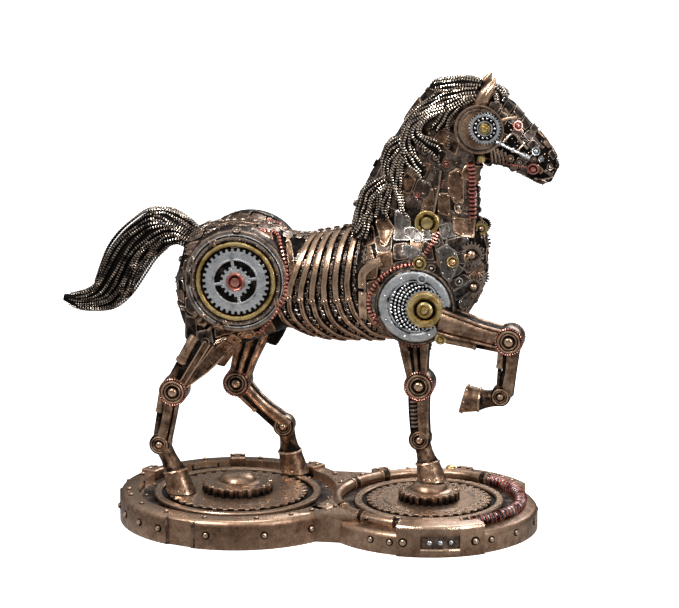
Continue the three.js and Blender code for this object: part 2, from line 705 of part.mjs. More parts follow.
function plinth() {
  const wellFloor = PLINTH_HEIGHT - WELL_DEPTH;
  const clampTop = PLINTH_HEIGHT + CLAMP_RISE;
  const waist = new THREE.BoxGeometry(frontX - rearX, WAIST_WIDTH, PLINTH_HEIGHT);
  const shoulder = PLINTH_HEIGHT - SHOULDER_DROP;
  const frontProfile = [
    [0, 0],
    [FRONT_DISC_RADIUS, 0],
    [FRONT_DISC_RADIUS, shoulder - EDGE_ROUND],
    [FRONT_DISC_RADIUS - EDGE_ROUND, shoulder],
    [pipeCentreRadius, shoulder + SHOULDER_RISE],
    [0, shoulder + SHOULDER_RISE],
  ];
  const rearWell = post(rearX, 0, wellFloor, domeTop, REAR_DISC_RADIUS - REAR_RIM_WIDTH);
  const frontWell = post(frontX, 0, wellFloor, domeTop, pipeCentreRadius);
  const discs = join([
    post(rearX, 0, 0, PLINTH_HEIGHT, REAR_DISC_RADIUS, 40),
    turned(frontX, frontProfile, 36),
    solid(waist, placed((rearX + frontX) / 2, 0, PLINTH_HEIGHT / 2)),
  ]);
  const notches = [
    ...REAR_NOTCHES.map((bearing) => [rearX, bearing, REAR_DISC_RADIUS]),
    ...FRONT_NOTCHES.map((bearing) => [frontX, bearing, FRONT_DISC_RADIUS]),
  ].map(([x, bearing, radius]) =>
    blockOn(x, bearing, radius - NOTCH_DEPTH, radius, NOTCH_WIDTH, -OVERLAP, PLINTH_HEIGHT - NOTCH_LIP),
  );
  const clamps = [
    ...REAR_CLAMPS.map((bearing) => [rearX, bearing, REAR_DISC_RADIUS, REAR_RIM_WIDTH]),
    ...FRONT_CLAMPS.map((bearing) => [frontX, bearing, FRONT_DISC_RADIUS, FRONT_RIM_WIDTH]),
  ].map(([x, bearing, radius, rim]) =>
    blockOn(x, bearing, radius - rim, rim - CLAMP_INSET, CLAMP_LENGTH, wellFloor, clampTop),
  );
  const backPlate = sector(
    frontX,
    pipeCentreRadius,
    FRONT_DISC_RADIUS,
    BACK_PLATE_FROM,
    BACK_PLATE_TO,
    0,
    PLINTH_HEIGHT,
  );
  const cast = join([
    join([discs.subtract(join(notches)), backPlate]).subtract(join([rearWell, frontWell])),
    turntable(rearX, REAR_RING_RADIUS, REAR_GEAR_RADIUS, REAR_PINION_RADIUS),
    turntable(frontX, FRONT_RING_RADIUS, FRONT_GEAR_RADIUS, FRONT_PINION_RADIUS),
    pipeRing(),
    frontPanel(),
    ...clamps,
    ...SEATS.map(({ place, z }) => {
      const spot = at(...place);
      return post(spot.x, spot.y, wellFloor - OVERLAP, z, HOOF_PAD_RADIUS * u, 10);
    }),
  ]);
  const air = SEATS.map(({ place, z }) => {
    const spot = at(...place);
    return post(spot.x, spot.y, z, z + PLINTH_HEIGHT, HOOF_AIR_RADIUS * u, 10);
  });
  return cast.subtract(join(air));
}

// The finished pieces

const bronze = new THREE.MeshStandardMaterial({ color: 0x6b4630, roughness: 0.38, metalness: 0.9 });
const darkBronze = new THREE.MeshStandardMaterial({ color: 0x7a4e33, roughness: 0.34, metalness: 0.9 });

function mesh(name, shape, material) {
  const { vertProperties, triVerts } = shape.getMesh();
  const geometry = new THREE.BufferGeometry();
  geometry.setAttribute('position', new THREE.Float32BufferAttribute(vertProperties, 3));
  geometry.setIndex(Array.from(triVerts));
  geometry.computeVertexNormals();
  const made = new THREE.Mesh(geometry, material);
  made.name = name;
  return made;
}

const statue = new THREE.Group();
statue.name = 'mechanical_horse';
statue.add(mesh('horse', horse(), bronze));
statue.add(mesh('plinth', plinth(), darkBronze));

export default statue;
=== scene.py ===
"""The looks of a cast mechanical horse on a plinth of two gear discs.

Shapes are worked out in millimetres, and Piece.make turns them to metres.
+X is the way the horse walks, +Y its left side, +Z up. The near side is its right.
Forms of the figure have their z measured from the hooves' ground, and details from the underside.
"""

import math

import bmesh
import bpy
import numpy as np
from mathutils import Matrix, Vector
from mathutils.bvhtree import BVHTree


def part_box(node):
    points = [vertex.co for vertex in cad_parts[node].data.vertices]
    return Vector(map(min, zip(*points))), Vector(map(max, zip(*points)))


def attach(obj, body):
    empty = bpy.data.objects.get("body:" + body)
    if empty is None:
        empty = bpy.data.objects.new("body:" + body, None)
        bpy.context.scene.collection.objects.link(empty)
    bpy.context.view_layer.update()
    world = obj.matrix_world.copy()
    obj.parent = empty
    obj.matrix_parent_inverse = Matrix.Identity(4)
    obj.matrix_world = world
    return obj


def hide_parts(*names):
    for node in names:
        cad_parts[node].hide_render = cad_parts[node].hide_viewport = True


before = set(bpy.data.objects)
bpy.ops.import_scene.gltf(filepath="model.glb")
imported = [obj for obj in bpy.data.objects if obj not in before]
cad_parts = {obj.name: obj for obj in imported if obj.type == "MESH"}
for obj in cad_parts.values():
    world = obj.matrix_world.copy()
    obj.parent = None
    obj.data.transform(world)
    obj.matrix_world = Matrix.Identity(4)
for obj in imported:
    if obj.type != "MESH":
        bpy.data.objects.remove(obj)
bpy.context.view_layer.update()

MM = 0.001
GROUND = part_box("horse")[0].z / MM
PLINTH_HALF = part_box("plinth")[1].y / MM
SIDES = NEAR, FAR = 1, -1
TURN = 2 * math.pi
ACROSS, UP = np.array([0.0, 1.0, 0.0]), np.array([0.0, 0.0, 1.0])
random = np.random.default_rng(7)

# Mesh building


def unit(v):
    """Vectors at length one."""
    v = np.asarray(v, float)
    return v / np.maximum(np.linalg.norm(v, axis=-1, keepdims=True), 1e-12)


def square_to(axis):
    """Two unit vectors square to an axis, the second one near to up."""
    axis = unit(axis)
    up = UP if abs(axis[2]) < 0.9 else np.array([1.0, 0.0, 0.0])
    side = unit(np.cross(up, axis))
    return side, np.cross(axis, side)


def even(sides, shift=0.0):
    """Even angles round a turn."""
    return TURN * (np.arange(sides) + shift) / sides


def circle(axis, angles):
    """Unit vectors square to an axis, at angles from its side direction."""
    side, up = square_to(axis)
    return np.cos(angles)[:, None] * side + np.sin(angles)[:, None] * up


def swept(line, across, up, x, y):
    """Rows of points about a line, at shares x of its across vectors and y of its up vectors."""
    return line[:, None] + x[:, None] * across[:, None] + y[:, None] * up[:, None]


def squarish(sides, power, shift=0.0):
    """Shares of the half width and half height round a softly square outline."""
    c, s = np.cos(even(sides, shift)), np.sin(even(sides, shift))
    fuller = (np.abs(c) ** power + np.abs(s) ** power) ** (-1 / power)
    return c * fuller, s * fuller


class Piece:
    """One piece of the statue: its points, its faces, and how worn and shaded each point is, from -1
    in a dark hollow of patina and painted shade to 1 on a rubbed edge with a painted highlight."""

    made = {}

    def __init__(self, name, metal):
        self.name, self.metal = name, metal
        self.points, self.quads, self.tris, self.wear_and_shade = [], [np.zeros((0, 4), int)], [np.zeros((0, 3),
                                                                                               int)], []
        self.count = 0

    def add(self, points, quads, tris, wear_and_shade):
        self.points.append(points)
        self.wear_and_shade.append(wear_and_shade)
        self.quads.append(quads + self.count)
        self.tris.append(tris + self.count)
        self.count += len(points)

    def make(self):
        """The piece as an object that rides with the statue."""
        points, quads, tris = np.vstack(self.points) * MM, np.vstack(self.quads), np.vstack(self.tris)
        corners = np.concatenate([quads.ravel(), tris.ravel()])
        starts = np.concatenate([4 * np.arange(len(quads)), quads.size + 3 * np.arange(len(tris))])
        mesh = bpy.data.meshes.new(self.name)
        mesh.vertices.add(len(points))
        mesh.vertices.foreach_set("co", points.astype(np.float32).ravel())
        mesh.loops.add(len(corners))
        mesh.loops.foreach_set("vertex_index", corners.astype(np.int32))
        mesh.polygons.add(len(starts))
        mesh.polygons.foreach_set("loop_start", starts.astype(np.int32))
        mesh.update(calc_edges=True)
        set_wear_and_shade(mesh, np.concatenate(self.wear_and_shade))
        finish_mesh(mesh)
        return place_object(self.name, mesh, self.metal)


def set_wear_and_shade(mesh, wear_and_shade):
    """Writes how worn and shaded each point of a mesh is, over what it had: patina and painted shade in the
    hollows, rubbed wear and painted highlight on the edges.
    """
    old = mesh.attributes.get("wear_and_shade")
    if old:
        mesh.attributes.remove(old)
    values = np.asarray(wear_and_shade, np.float32)
    mesh.attributes.new("wear_and_shade", "FLOAT", "POINT").data.foreach_set("value", values)


def finish_mesh(mesh, angle=35):
    mesh.shade_smooth()
    mesh.set_sharp_from_angle(angle=math.radians(angle))


def place_object(name, mesh, metal):
    obj = bpy.data.objects.new(name, mesh)
    bpy.context.scene.collection.objects.link(obj)
    mesh.materials.append(MATERIALS[metal])
    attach(obj, "root")
    return obj


def applied(obj):
    """An object's mesh with its modifiers applied. The object goes."""
    graph = bpy.context.evaluated_depsgraph_get()
    mesh = bpy.data.meshes.new_from_object(obj.evaluated_get(graph))
    bpy.data.objects.remove(obj)
    mesh.materials.clear()
    return mesh


def places_of(mesh):
    """The places of a mesh's points in millimetres."""
    flat = np.zeros(len(mesh.vertices) * 3, np.float32)
    mesh.vertices.foreach_get("co", flat)
    return flat.reshape(-1, 3).astype(float) / MM


def piece(area, metal):
    """The piece of one area and metal, started when it is first asked for."""
    name = f"{area}_{metal}"
    if name not in Piece.made:
        Piece.made[name] = Piece(name, metal)
    return Piece.made[name]


def shell(target, rows, wear_and_shade=0.0, looped=False):
    """A closed skin over rows of points. Fans close its ends, unless its rows run in a loop."""
    rows = np.asarray(rows, float)
    r, c = rows.shape[:2]
    index = np.arange(r * c).reshape(r, c)
    low = index if looped else index[:-1]
    high = np.roll(index, -1, axis=0) if looped else index[1:]
    quads = np.stack([low, np.roll(low, -1, 1), np.roll(high, -1, 1), high], -1).reshape(-1, 4)
    points = rows.reshape(-1, 3)
    worn_and_shaded = np.asarray(wear_and_shade, float)
    worn_and_shaded = np.broadcast_to(worn_and_shaded[:, None] if worn_and_shaded.ndim == 1 else worn_and_shaded, (r, c)).reshape(-1)
    tris = np.zeros((0, 3), int)
    if not looped:
        points = np.vstack([points, rows[0].mean(0), rows[-1].mean(0)])
        worn_and_shaded = np.concatenate([worn_and_shaded, [worn_and_shaded[0], worn_and_shaded[-1]]])
        first, last, n = index[0], index[-1], r * c
        start = np.stack([np.roll(first, -1), first, np.full(c, n)], -1)
        end = np.stack([last, np.roll(last, -1), np.full(c, n + 1)], -1)
        tris = np.vstack([start, end])
    p = points - points.mean(0)
    a, b, d = (p[np.concatenate([quads[:, 0], quads[:, 0], tris[:, 0]])],
               p[np.concatenate([quads[:, 1], quads[:, 2], tris[:, 1]])],
               p[np.concatenate([quads[:, 2], quads[:, 3], tris[:, 2]])])
    if np.einsum("ij,ij->", a, np.cross(b, d)) < 0:
        quads, tris = quads[:, ::-1], tris[:, ::-1]
    target.add(points, quads, tris, worn_and_shaded)


def spline(rows, count=None, step=None):
    """A smooth line through rows of numbers, whose first three are a place, at even steps."""
    rows = np.asarray(rows, float)
    gaps = np.maximum(np.linalg.norm(np.diff(rows[:, :3], axis=0), axis=1), 1e-9)
    s = np.concatenate([[0], np.cumsum(gaps)])
    if step:
        count = max(3, math.ceil(s[-1] / step) + 1)
    t = np.linspace(0, s[-1], count)
    slope = np.gradient(rows, s, axis=0)
    k = np.clip(np.searchsorted(s, t, side="right") - 1, 0, len(s) - 2)
    h = gaps[k][:, None]
    f = ((t - s[k]) / gaps[k])[:, None]
    return (
        (2 * f**3 - 3 * f**2 + 1) * rows[k]
        + (f**3 - 2 * f**2 + f) * h * slope[k]
        + (3 * f**2 - 2 * f**3) * rows[k + 1]
        + (f**3 - f**2) * h * slope[k + 1]
    )


def directions(path):
    return unit(np.gradient(path, axis=0))


def carried_up(along):
    """A vector square to a path at each of its points, carried along without twist."""
    ups = np.empty_like(along)
    up = square_to(along[0])[1]
    for i, a in enumerate(along):
        up = up - a * (up @ a)
        up /= max(np.linalg.norm(up), 1e-9)
        ups[i] = up
    return ups


def tube(target, path, radii, sides=6, wear_and_shade=0.0, up=None, flat=1.0):
    """A tube along a path. Flat is its height along up as a share of its width."""
    path = np.asarray(path, float)
    along = directions(path)
    ups = carried_up(along) if up is None else unit(up - along * (along @ up)[:, None])
    radii = np.broadcast_to(np.asarray(radii, float), len(path))[:, None]
    angle = even(sides)
    shell(target, swept(path, np.cross(along, ups) * radii, ups * radii, np.cos(angle),
                        flat * np.sin(angle)), wear_and_shade)


BEAD_STEPS = 3


def beaded(target, path, radius, pitch, sides=6, taper=None, top=0.8):
    """A string of beads cast along a path, painted dark at the waists as shade and bright at the bead tops,
    by top, as highlights. Taper gives shares of the radius by shares of the length.
    """
    line = spline(path, step=pitch / BEAD_STEPS)
    line = line[: (len(line) - 1) // BEAD_STEPS * BEAD_STEPS + 1]
    waist = np.arange(len(line)) % BEAD_STEPS == 0
    radii = radius * np.where(waist, 0.45, 1.0)
    if taper:
        radii = radii * np.interp(np.linspace(0, 1, len(line)), *taper)
    # Waists painted darkest as the shade between beads, bead tops painted bright as highlights.
    tube(target, line, radii, sides, np.where(waist, -1.0, top))


def turned(target, centre, axis, profile, sides=16):
    """A turned body about an axis, from rows of radius, height and wear."""
    profile = np.asarray(profile, float)
    reach, height = profile[:, 0, None, None], profile[:, 1, None, None]
    shell(target, np.asarray(centre, float) + reach * circle(axis, even(sides)) + height * unit(axis),
          profile[:, 2])


def rivet(target, centre, axis, radius=0.7, sides=8, wear_and_shade=0.9):
    r = radius
    # Dark at the foot as patina and painted shade, bright on the dome as rubbed wear and painted highlight.
    rows = [(r, -0.6 * r, -1), (r, 0.15 * r, -0.7), (0.85 * r, 0.6 * r, 0.3 * wear_and_shade),
            (0.4 * r, 0.9 * r, wear_and_shade)]
    turned(target, centre, axis, rows, sides)


def band(target, centre, axis, spokes, outer, inner, low, high, bevel, worn_and_shaded):
    """A band about an axis that reaches along the spokes, with its two upper edges bevelled."""
    corners = [(inner, low), (outer, low), (outer, high - bevel), (outer - bevel, high),
               (inner + bevel, high),
               (inner, high - bevel)]
    rows = [centre + np.broadcast_to(r, len(spokes))[:, None] * spokes + h * unit(axis) for r, h in corners]
    shell(target, rows, worn_and_shaded, looped=True)


def ring(target, centre, axis, outer, inner, low, high, bevel=0.3, sides=48, wear_and_shade=0.2):
    """A flat ring with bevelled edges."""
    # Dark at the foot as patina and painted shade, bright on the top bevel as rubbed wear and painted
    # highlight.
    worn_and_shaded = (-1, -1, -0.2, 0.8, wear_and_shade, -0.3)
    band(target, centre, axis, circle(axis, even(sides)), outer, inner, low, high, bevel, worn_and_shaded)


# Corners of one tooth: shares of the tooth's pitch, and whether they are at its tip
TOOTH = ((-0.30, 0), (-0.17, 1), (0.17, 1), (0.30, 0))


def gear(target, centre, axis, radius, tooth, teeth, inner, low, high, bevel=0.25, wear_and_shade=0.2):
    """A toothed ring or wheel."""
    corners = [(TURN * (i + share) / teeth, radius - tooth * (1 - tip)) for i in range(teeth) for share,
               tip in TOOTH]
    angle, reach = np.array(corners).T
    # Dark at the foot as patina and painted shade, bright on the top bevel as rubbed wear and painted
    # highlight.
    worn_and_shaded = (-1, -1, -0.3, 0.9, wear_and_shade, -0.3)
    band(target, centre, axis, circle(axis, angle), reach, inner, low, high, bevel, worn_and_shaded)


def block(target, centre, along, across, length, width, low, high, bevel=0.35, wear_and_shade=0.2):
    """A bevelled block that stands up from a plane along two square directions."""
    along, across = unit(along), unit(across)
    axis = np.cross(along, across)
    rows = []
    for height, inset, share in ((low, 0, 1), (high - bevel, 0, 1), (high, bevel, 1), (high, bevel, 0.7)):
        x, y = (length / 2 - inset) * share, (width / 2 - inset) * share
        corners = (x, y), (-x, y), (-x, -y), (x, -y)
        rows.append([centre + a * along + b * across + height * axis for a, b in corners])
    # Dark at the foot as patina and painted shade, bright on the bevel as rubbed wear and painted
    # highlight.
    shell(target, rows, (-1, 0.2, 0.8, wear_and_shade))


class Hub:
    """Turned forms, rings, gears and studs of one area about one axis."""

    def __init__(self, area, centre, axis):
        self.area, self.centre, self.axis = area, centre, axis

    def turn(self, metal_name, profile, sides=24):
        turned(piece(self.area, metal_name), self.centre, self.axis, profile, sides)

    def ring(self, metal_name, *sizes):
        ring(piece(self.area, metal_name), self.centre, self.axis, *sizes)

    def gear(self, metal_name, *sizes):
        gear(piece(self.area, metal_name), self.centre, self.axis, *sizes)

    def at(self, reach, angle, out):
        """A place at a reach and an angle from the axis, and out along it."""
        return self.centre + reach * circle(self.axis, np.array([angle]))[0] + self.axis * out

    def studs(self, metal_name, reach, angles, out, radius, sides=8):
        for angle in angles:
            rivet(piece(self.area, metal_name), self.at(reach, angle, out), self.axis, radius, sides)


# Materials


class Tree:
    """The nodes of one material or world."""

    def __init__(self, owner):
        owner.use_nodes = True
        self.tree = owner.node_tree

    def fill(self, node, inputs):
        """Gives a node's inputs their numbers, colours or links."""
        for key, value in inputs.items():
            if isinstance(value, bpy.types.NodeSocket):
                self.tree.links.new(value, node.inputs[key])
            else:
                node.inputs[key].default_value = value

    def add(self, kind, inputs, output=0, **settings):
        """One output of a new node."""
        node = self.tree.nodes.new("ShaderNode" + kind)
        for key, value in settings.items():
            setattr(node, key, value)
        self.fill(node, inputs)
        return node.outputs[output]

    def sum_of(self, a, factor, b):
        return self.add("Math", {0: a, 1: factor, 2: b}, operation="MULTIPLY_ADD")

    def ramp(self, value, steps, way="LINEAR"):
        """A colour by a value, from rows of position and colour."""
        node = self.tree.nodes.new("ShaderNodeValToRGB")
        node.color_ramp.interpolation = way
        elements = node.color_ramp.elements
        for k in (0, -1):
            elements[k].position, elements[k].color = steps[k][0], (*steps[k][1], 1)
        for position, colour in steps[1:-1]:
            elements.new(position).color = (*colour, 1)
        self.fill(node, {"Fac": value})
        return node.outputs["Color"]


COARSE, FINE, NOISE_ROUGHNESS = (210, 8), (900, 3), 0.65
WEAR_AND_SHADE_LEVELS = {"From Min": 0.2, "From Max": 0.85}


def metal(name, colour, dark, bright, roughness, coat=0.6, mottle=1.2):
    """A cast metal coat: a dark wash in the hollows that is patina and painted shade, bright on the edges
    as rubbed wear and painted highlight, finely mottled.
    """
    material = bpy.data.materials.new(name)
    tree = Tree(material)
    wear_and_shade = tree.add("Attribute", {}, "Fac", attribute_name="wear_and_shade")
    where = tree.add("TexCoord", {}, "Object")

    def noise(scale, detail):
        inputs = {"Scale": scale, "Detail": detail, "Roughness": NOISE_ROUGHNESS, "Vector": where}
        return tree.add("TexNoise", inputs, "Fac")

    def ranged(low, high):
        return tree.add("MapRange", {**WEAR_AND_SHADE_LEVELS, "To Min": low, "To Max": high, "Value": level},
                        "Result")

    def bump(height, strength, distance, below):
        return tree.add("Bump", {"Strength": strength, "Distance": distance, "Height": height, **below},
                        "Normal")

    coarse, fine = noise(*COARSE), noise(*FINE)
    # The colour runs from the dark wash, patina and painted shade in the hollows, to the rubbed colour with
    # painted highlights on the edges.
    level = tree.sum_of(fine, 0.35, tree.sum_of(coarse, mottle, tree.sum_of(wear_and_shade, 0.38, 0.32 - mottle / 2)))
    tree.fill(material.node_tree.nodes["Principled BSDF"], {
        "Metallic": 0.9,
        "Coat Roughness": 0.16,
        "Base Color": tree.ramp(level, [(0.24, dark), (0.5, colour), (0.82, bright)]),
        "Roughness": ranged(min(1.0, roughness + 0.3), roughness - 0.06),
        "Coat Weight": ranged(0.0, coat),
        "Normal": bump(fine, 0.3, 0.0001, {"Normal": bump(coarse, 0.6, 0.0005, {})}),
    })
    return material


# Each metal: slot, colour, dark wash of patina and painted shade, rubbed colour with painted highlight and
# roughness, and for some the coat and mottle
METALS = {
    "bronze": ("bronze", (0.21, 0.118, 0.070), (0.008, 0.005, 0.004), (0.78, 0.52, 0.35), 0.3),
    "gunmetal": ("bronze", (0.075, 0.050, 0.038), (0.005, 0.004, 0.003), (0.55, 0.42, 0.33), 0.3),
    "strand": ("bronze", (0.035, 0.022, 0.016), (0.002, 0.0015, 0.001), (0.80, 0.66, 0.53), 0.22, 1.0),
    "silver": ("silver", (0.52, 0.525, 0.54), (0.010, 0.010, 0.012), (0.92, 0.93, 0.95), 0.28, 0.6, 2.2),
    "pewter": ("silver", (0.15, 0.128, 0.112), (0.008, 0.007, 0.006), (0.58, 0.52, 0.47), 0.3, 0.6, 1.1),
    "brass": ("brass", (0.42, 0.25, 0.065), (0.02, 0.012, 0.004), (0.98, 0.75, 0.33), 0.25, 0.6, 1.6),
    "copper": ("copper", (0.36, 0.085, 0.060), (0.02, 0.006, 0.004), (0.85, 0.38, 0.30), 0.28),
    "rust": ("copper", (0.19, 0.055, 0.040), (0.010, 0.004, 0.003), (0.55, 0.23, 0.17), 0.34),
    "base": ("plinth_bronze", (0.33, 0.190, 0.116), (0.010, 0.007, 0.005), (0.80, 0.55, 0.38), 0.28, 0.8,
             0.6),
    # well: the plinth bronze darkened as painted shade, for well floors, set-back blocks, slots, the window
    # and the rings round wall rivets
    "well": ("plinth_bronze", (0.13, 0.088, 0.066), (0.007, 0.005, 0.004), (0.45, 0.34, 0.27), 0.36),
}
MATERIALS = {name: metal(name, *row[1:]) for name, row in METALS.items()}

# The figure's form, as the solid has it

STRAIGHT_FROM = 62


def sway(x):
    """The horse's midline bends gently to its right as it goes forward."""
    return 3.35 - 0.14 * min(x, STRAIGHT_FROM)


def at(x, z, w=0.0):
    """A place in the figure: z from the ground, w out to the near side of the midline."""
    return np.array([x, sway(x) - w, GROUND + z])


def beside(x, z, w, side=NEAR):
    """A place of a detail: z from the underside, w out to one side of the midline."""
    return np.array([x, sway(x) - side * w, z])


def outward(side):
    return np.array([0.0, -float(side), 0.0])


# Middles of the discs on rump and shoulder: x and z from the underside
HAUNCH, SHOULDER, SHOULDER_HUB = (-46.6, GROUND + 111.9), (44.8, GROUND + 105), (50.2, GROUND + 104.2)
# The trunk: x, top, bottom, half width
TRUNK = [
    (-81.5, 109, 97, 6), (-78.5, 119, 86, 14), (-74.5, 129.5, 79.5, 18.5), (-68.5, 133.4, 76.5, 21),
    (-61, 135.4, 74.5, 23), (-53, 136.4, 74, 24), (-45, 137, 75.5, 24.5), (-37, 136.4, 79, 23.8),
    (-29.5, 135.2, 82, 22), (-22.8, 134, 83.5, 20.5), (-15, 133.6, 82, 20.5), (-7, 134.6, 80.4, 21.5),
    (3, 137, 79.8, 22), (13.5, 140, 80.6, 22), (23.8, 142.3, 82.4, 21.7), (34, 145.5, 84, 21.5),
    (44, 148.6, 83.5, 21.3), (54, 149.3, 84, 20), (62, 148.8, 88.5, 17.5), (69.5, 147, 99.5, 13.8),
    (74.5, 144, 108.5, 10), (77.6, 135.5, 120.5, 5),
]
SQUARENESS = 2.5
FIRST_RIB, LAST_RIB = -23.6, 17.0
RIB_SUNK = 1.3
# The neck: throat x, z, crest x, z, half width
NECK = [
    (73.5, 124, 18, 122, 13), (74.3, 140.5, 9, 138.5, 15), (73.8, 149, 11.5, 150, 14.5),
    (73.3, 156, 16, 160.5, 13), (73.2, 164, 23.6, 174, 11.6), (74.2, 171.7, 31.4, 186, 10.6),
    (76, 177, 38.8, 198.4, 9.8), (79, 180, 46.4, 208.2, 9.2), (82, 184, 59, 215.2, 8.6),
]
# The head: jaw x, z, brow x, z, half width
HEAD = [
    (66, 184, 62, 207, 6.5), (71, 176.5, 70, 212, 9.5), (78, 174, 80, 211.5, 10.2),
    (84, 173.2, 90.3, 204.4, 9.8), (89.5, 171.5, 97.4, 197, 8.6), (95, 169.3, 103.3, 190.6, 7.2),
    (100.3, 166.6, 107.8, 184.7, 6.4), (104.5, 164.8, 111.4, 178.6, 6), (109.4, 165.6, 112.8, 172.8, 4.2),
]
# The tail: x, z, w, half width, half depth
TAIL = [
    (-67, 124, 0, 6, 6), (-74, 127.4, 0, 6.2, 6.4), (-81, 130.6, -1, 7, 8), (-87, 131.2, -2, 8, 9.8),
    (-93, 129.8, -2, 9, 11.2), (-98.6, 125.8, -2, 10, 11.4), (-104, 120.4, -1, 10.5, 11.8),
    (-108.6, 113.8, 0, 10.5, 12), (-112, 107.2, 1, 10, 11.4), (-115.2, 101, 2, 9, 10.4),
    (-119.4, 95.6, 2, 8, 8.8), (-126, 92.4, 3, 6, 6.4), (-134.4, 91.2, 4, 4, 4.6), (-142, 92.4, 5, 1.4, 2),
]
# Roots of the legs that the body takes in: places of x, z, w, and half width and half depth
ROOTS = [
    ([(-60, 94, 13), (-64, 84, 15.5), (-67.5, 76, 16)], [(7, 14), (6.4, 11.5), (5.4, 8)]),
    ([(-52, 90, 8), (-54.5, 78, 9), (-56.5, 69, 9)], [(6, 9), (5, 7), (3.5, 3)]),
    ([(-42, 90, -14), (-45, 76, -16.4), (-47.5, 68, -18)], [(7, 10.5), (6.4, 8.6), (5, 6.5)]),
    ([(-30, 86, -12), (-33.4, 77, -14), (-34.4, 71.5, -15)], [(5, 5), (5, 4.6), (4, 2.6)]),
    ([(40, 92, -11), (40, 80, -12), (40.4, 74, -11.6)], [(6.5, 11), (6.2, 8.8), (5.6, 7.6)]),
    ([(46, 104, 14), (55, 101.4, 18), (62, 99.4, 18.6)], [(7, 9), (6.2, 7.6), (5.4, 6.4)]),
]


def trunk_section(x, top, bottom, wide):
    """An oval of the trunk, drawn in where the ribs stand on it."""
    sunk = RIB_SUNK * np.clip(min(x - FIRST_RIB + 4, LAST_RIB + 4 - x) / 3, 0, 1)
    across, up = squarish(56, SQUARENESS)
    z = GROUND + (top + bottom) / 2 + up * ((top - bottom) / 2 - sunk)
    return np.stack([np.full(len(up), float(x)), sway(x) + across * (wide - sunk), z], -1)


def low_and_high(rows):
    """Lower and upper edge of the neck or head."""
    return np.array([at(r[0], r[1]) for r in rows]), np.array([at(r[2], r[3]) for r in rows])


def hull_sections(stations):
    """Ovals between a lower-front and an upper-back outline, with a half width."""
    rows = spline(stations, step=2.5)
    low, high = low_and_high(rows)
    angle = even(48)
    return swept((low + high) / 2, rows[:, 4:5] * ACROSS, (high - low) / 2, np.cos(angle), np.sin(angle))


def limb(target, points, sizes, sides=20, square=3.2, wear_and_shade=0.1):
    """A bar through places of x, z, w, with half width across and half depth, softly square."""
    rows = spline(np.hstack([[at(*p) for p in points], sizes]), step=2.0)
    along = directions(rows[:, :3])
    across = unit(ACROSS - along * along[:, 1:2])
    up = np.cross(along, across)
    shell(target, swept(rows[:, :3], across * rows[:, 3:4], up * rows[:, 4:5],
                        *squarish(sides, square, 0.5)), wear_and_shade)


VOXEL = 0.85
# Heights between which the skin goes from the painted shade under the plates to the bare neck
BARE_NECK, HEAD_FROM = (160, 172), 72
# How dark the skin is painted as the shade under plates and bars
SHADE_UNDER_PLATES = -0.8


def make_body():
    """Trunk, neck and head as one smooth body, and a tree of its faces to lay details on."""
    rough = Piece("body_rough", "gunmetal")
    shell(rough, [trunk_section(*row) for row in spline(TRUNK, step=2.0)])
    for stations in (NECK, HEAD):
        shell(rough, hull_sections(stations))
    for side in SIDES:
        turned(rough, beside(*HAUNCH, 0, side), outward(side),
               [(24, 0, 0), (26.4, 18, 0), (25.2, 23.6, 0), (23, 24.6, 0)], 48)
        turned(rough, beside(*SHOULDER, 0, side), outward(side),
               [(19, 0, 0), (19.6, 18, 0), (18.4, 22.4, 0)], 48)
    for points, sizes in ROOTS:
        limb(rough, points, sizes)
    obj = rough.make()
    remesh = obj.modifiers.new("skin", "REMESH")
    remesh.mode = "VOXEL"
    remesh.voxel_size = VOXEL * MM
    soften = obj.modifiers.new("soften", "SMOOTH")
    soften.factor = 0.5
    soften.iterations = 6
    mesh = applied(obj)
    points = places_of(mesh)
    tree = BVHTree.FromPolygons([tuple(p) for p in points], [tuple(f.vertices) for f in mesh.polygons])
    # The skin is painted dark as the shade under the plates, lighter up the bare neck, and the head's skin
    # all in the shade of its plates.
    wear_and_shade = np.interp(points[:, 2], BARE_NECK, (SHADE_UNDER_PLATES, 0.1))
    set_wear_and_shade(mesh, np.where(points[:, 0] > HEAD_FROM, SHADE_UNDER_PLATES, wear_and_shade))
    mesh.name = "body"
    finish_mesh(mesh, 60)
    return place_object("body", mesh, "gunmetal"), tree


body, TREE = make_body()
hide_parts("horse")

# Places on the body


def cast(origin, direction, reach):
    """Where a ray first meets the body, and the body's normal there, or None."""
    hit, normal, _, _ = TREE.ray_cast(Vector(origin), Vector(direction), reach)
    return None if hit is None else (np.array(hit), np.array(normal))


def on_side(side):
    """Lays x, z places on one side of the body."""

    def lay(x, z):
        found = cast((x, -side * 100.0, z), (0, side, 0), 105)
        if found:
            return found
        hit, normal, _, _ = TREE.find_nearest(Vector((x, sway(x) - side * 12, z)))
        return np.array(hit), np.array(normal)

    return lay


def on_breast(y, z):
    """Lays y, z places on the breast, seen from straight ahead."""
    found = cast((120, y, z), (-1, 0, 0), 60)
    return found if found and found[1][0] > 0.3 else None


class Wrap:
    """Lays places on the body about a line inside it: s along the line from 0 to 1, and an
    angle from its upper side, with 90 on the near side and -90 on the far."""

    def __init__(self, centres, ups, reach):
        centres = np.asarray(centres, float)
        reaches = np.broadcast_to(reach, len(centres))[:, None]
        self.rows = np.hstack([centres, directions(centres), ups, reaches])
        self.s = np.linspace(0, 1, len(centres))

    def __call__(self, s, angle):
        row = np.array([np.interp(s, self.s, column) for column in self.rows.T])
        centre, along, up, reach = row[:3], unit(row[3:6]), row[6:9], row[9]
        up = unit(up - along * (up @ along))
        a = math.radians(angle)
        way = math.cos(a) * up + math.sin(a) * np.cross(along, up)
        found = cast(centre + way * reach, -way, reach)
        return found if found and found[1] @ way > 0.1 else None


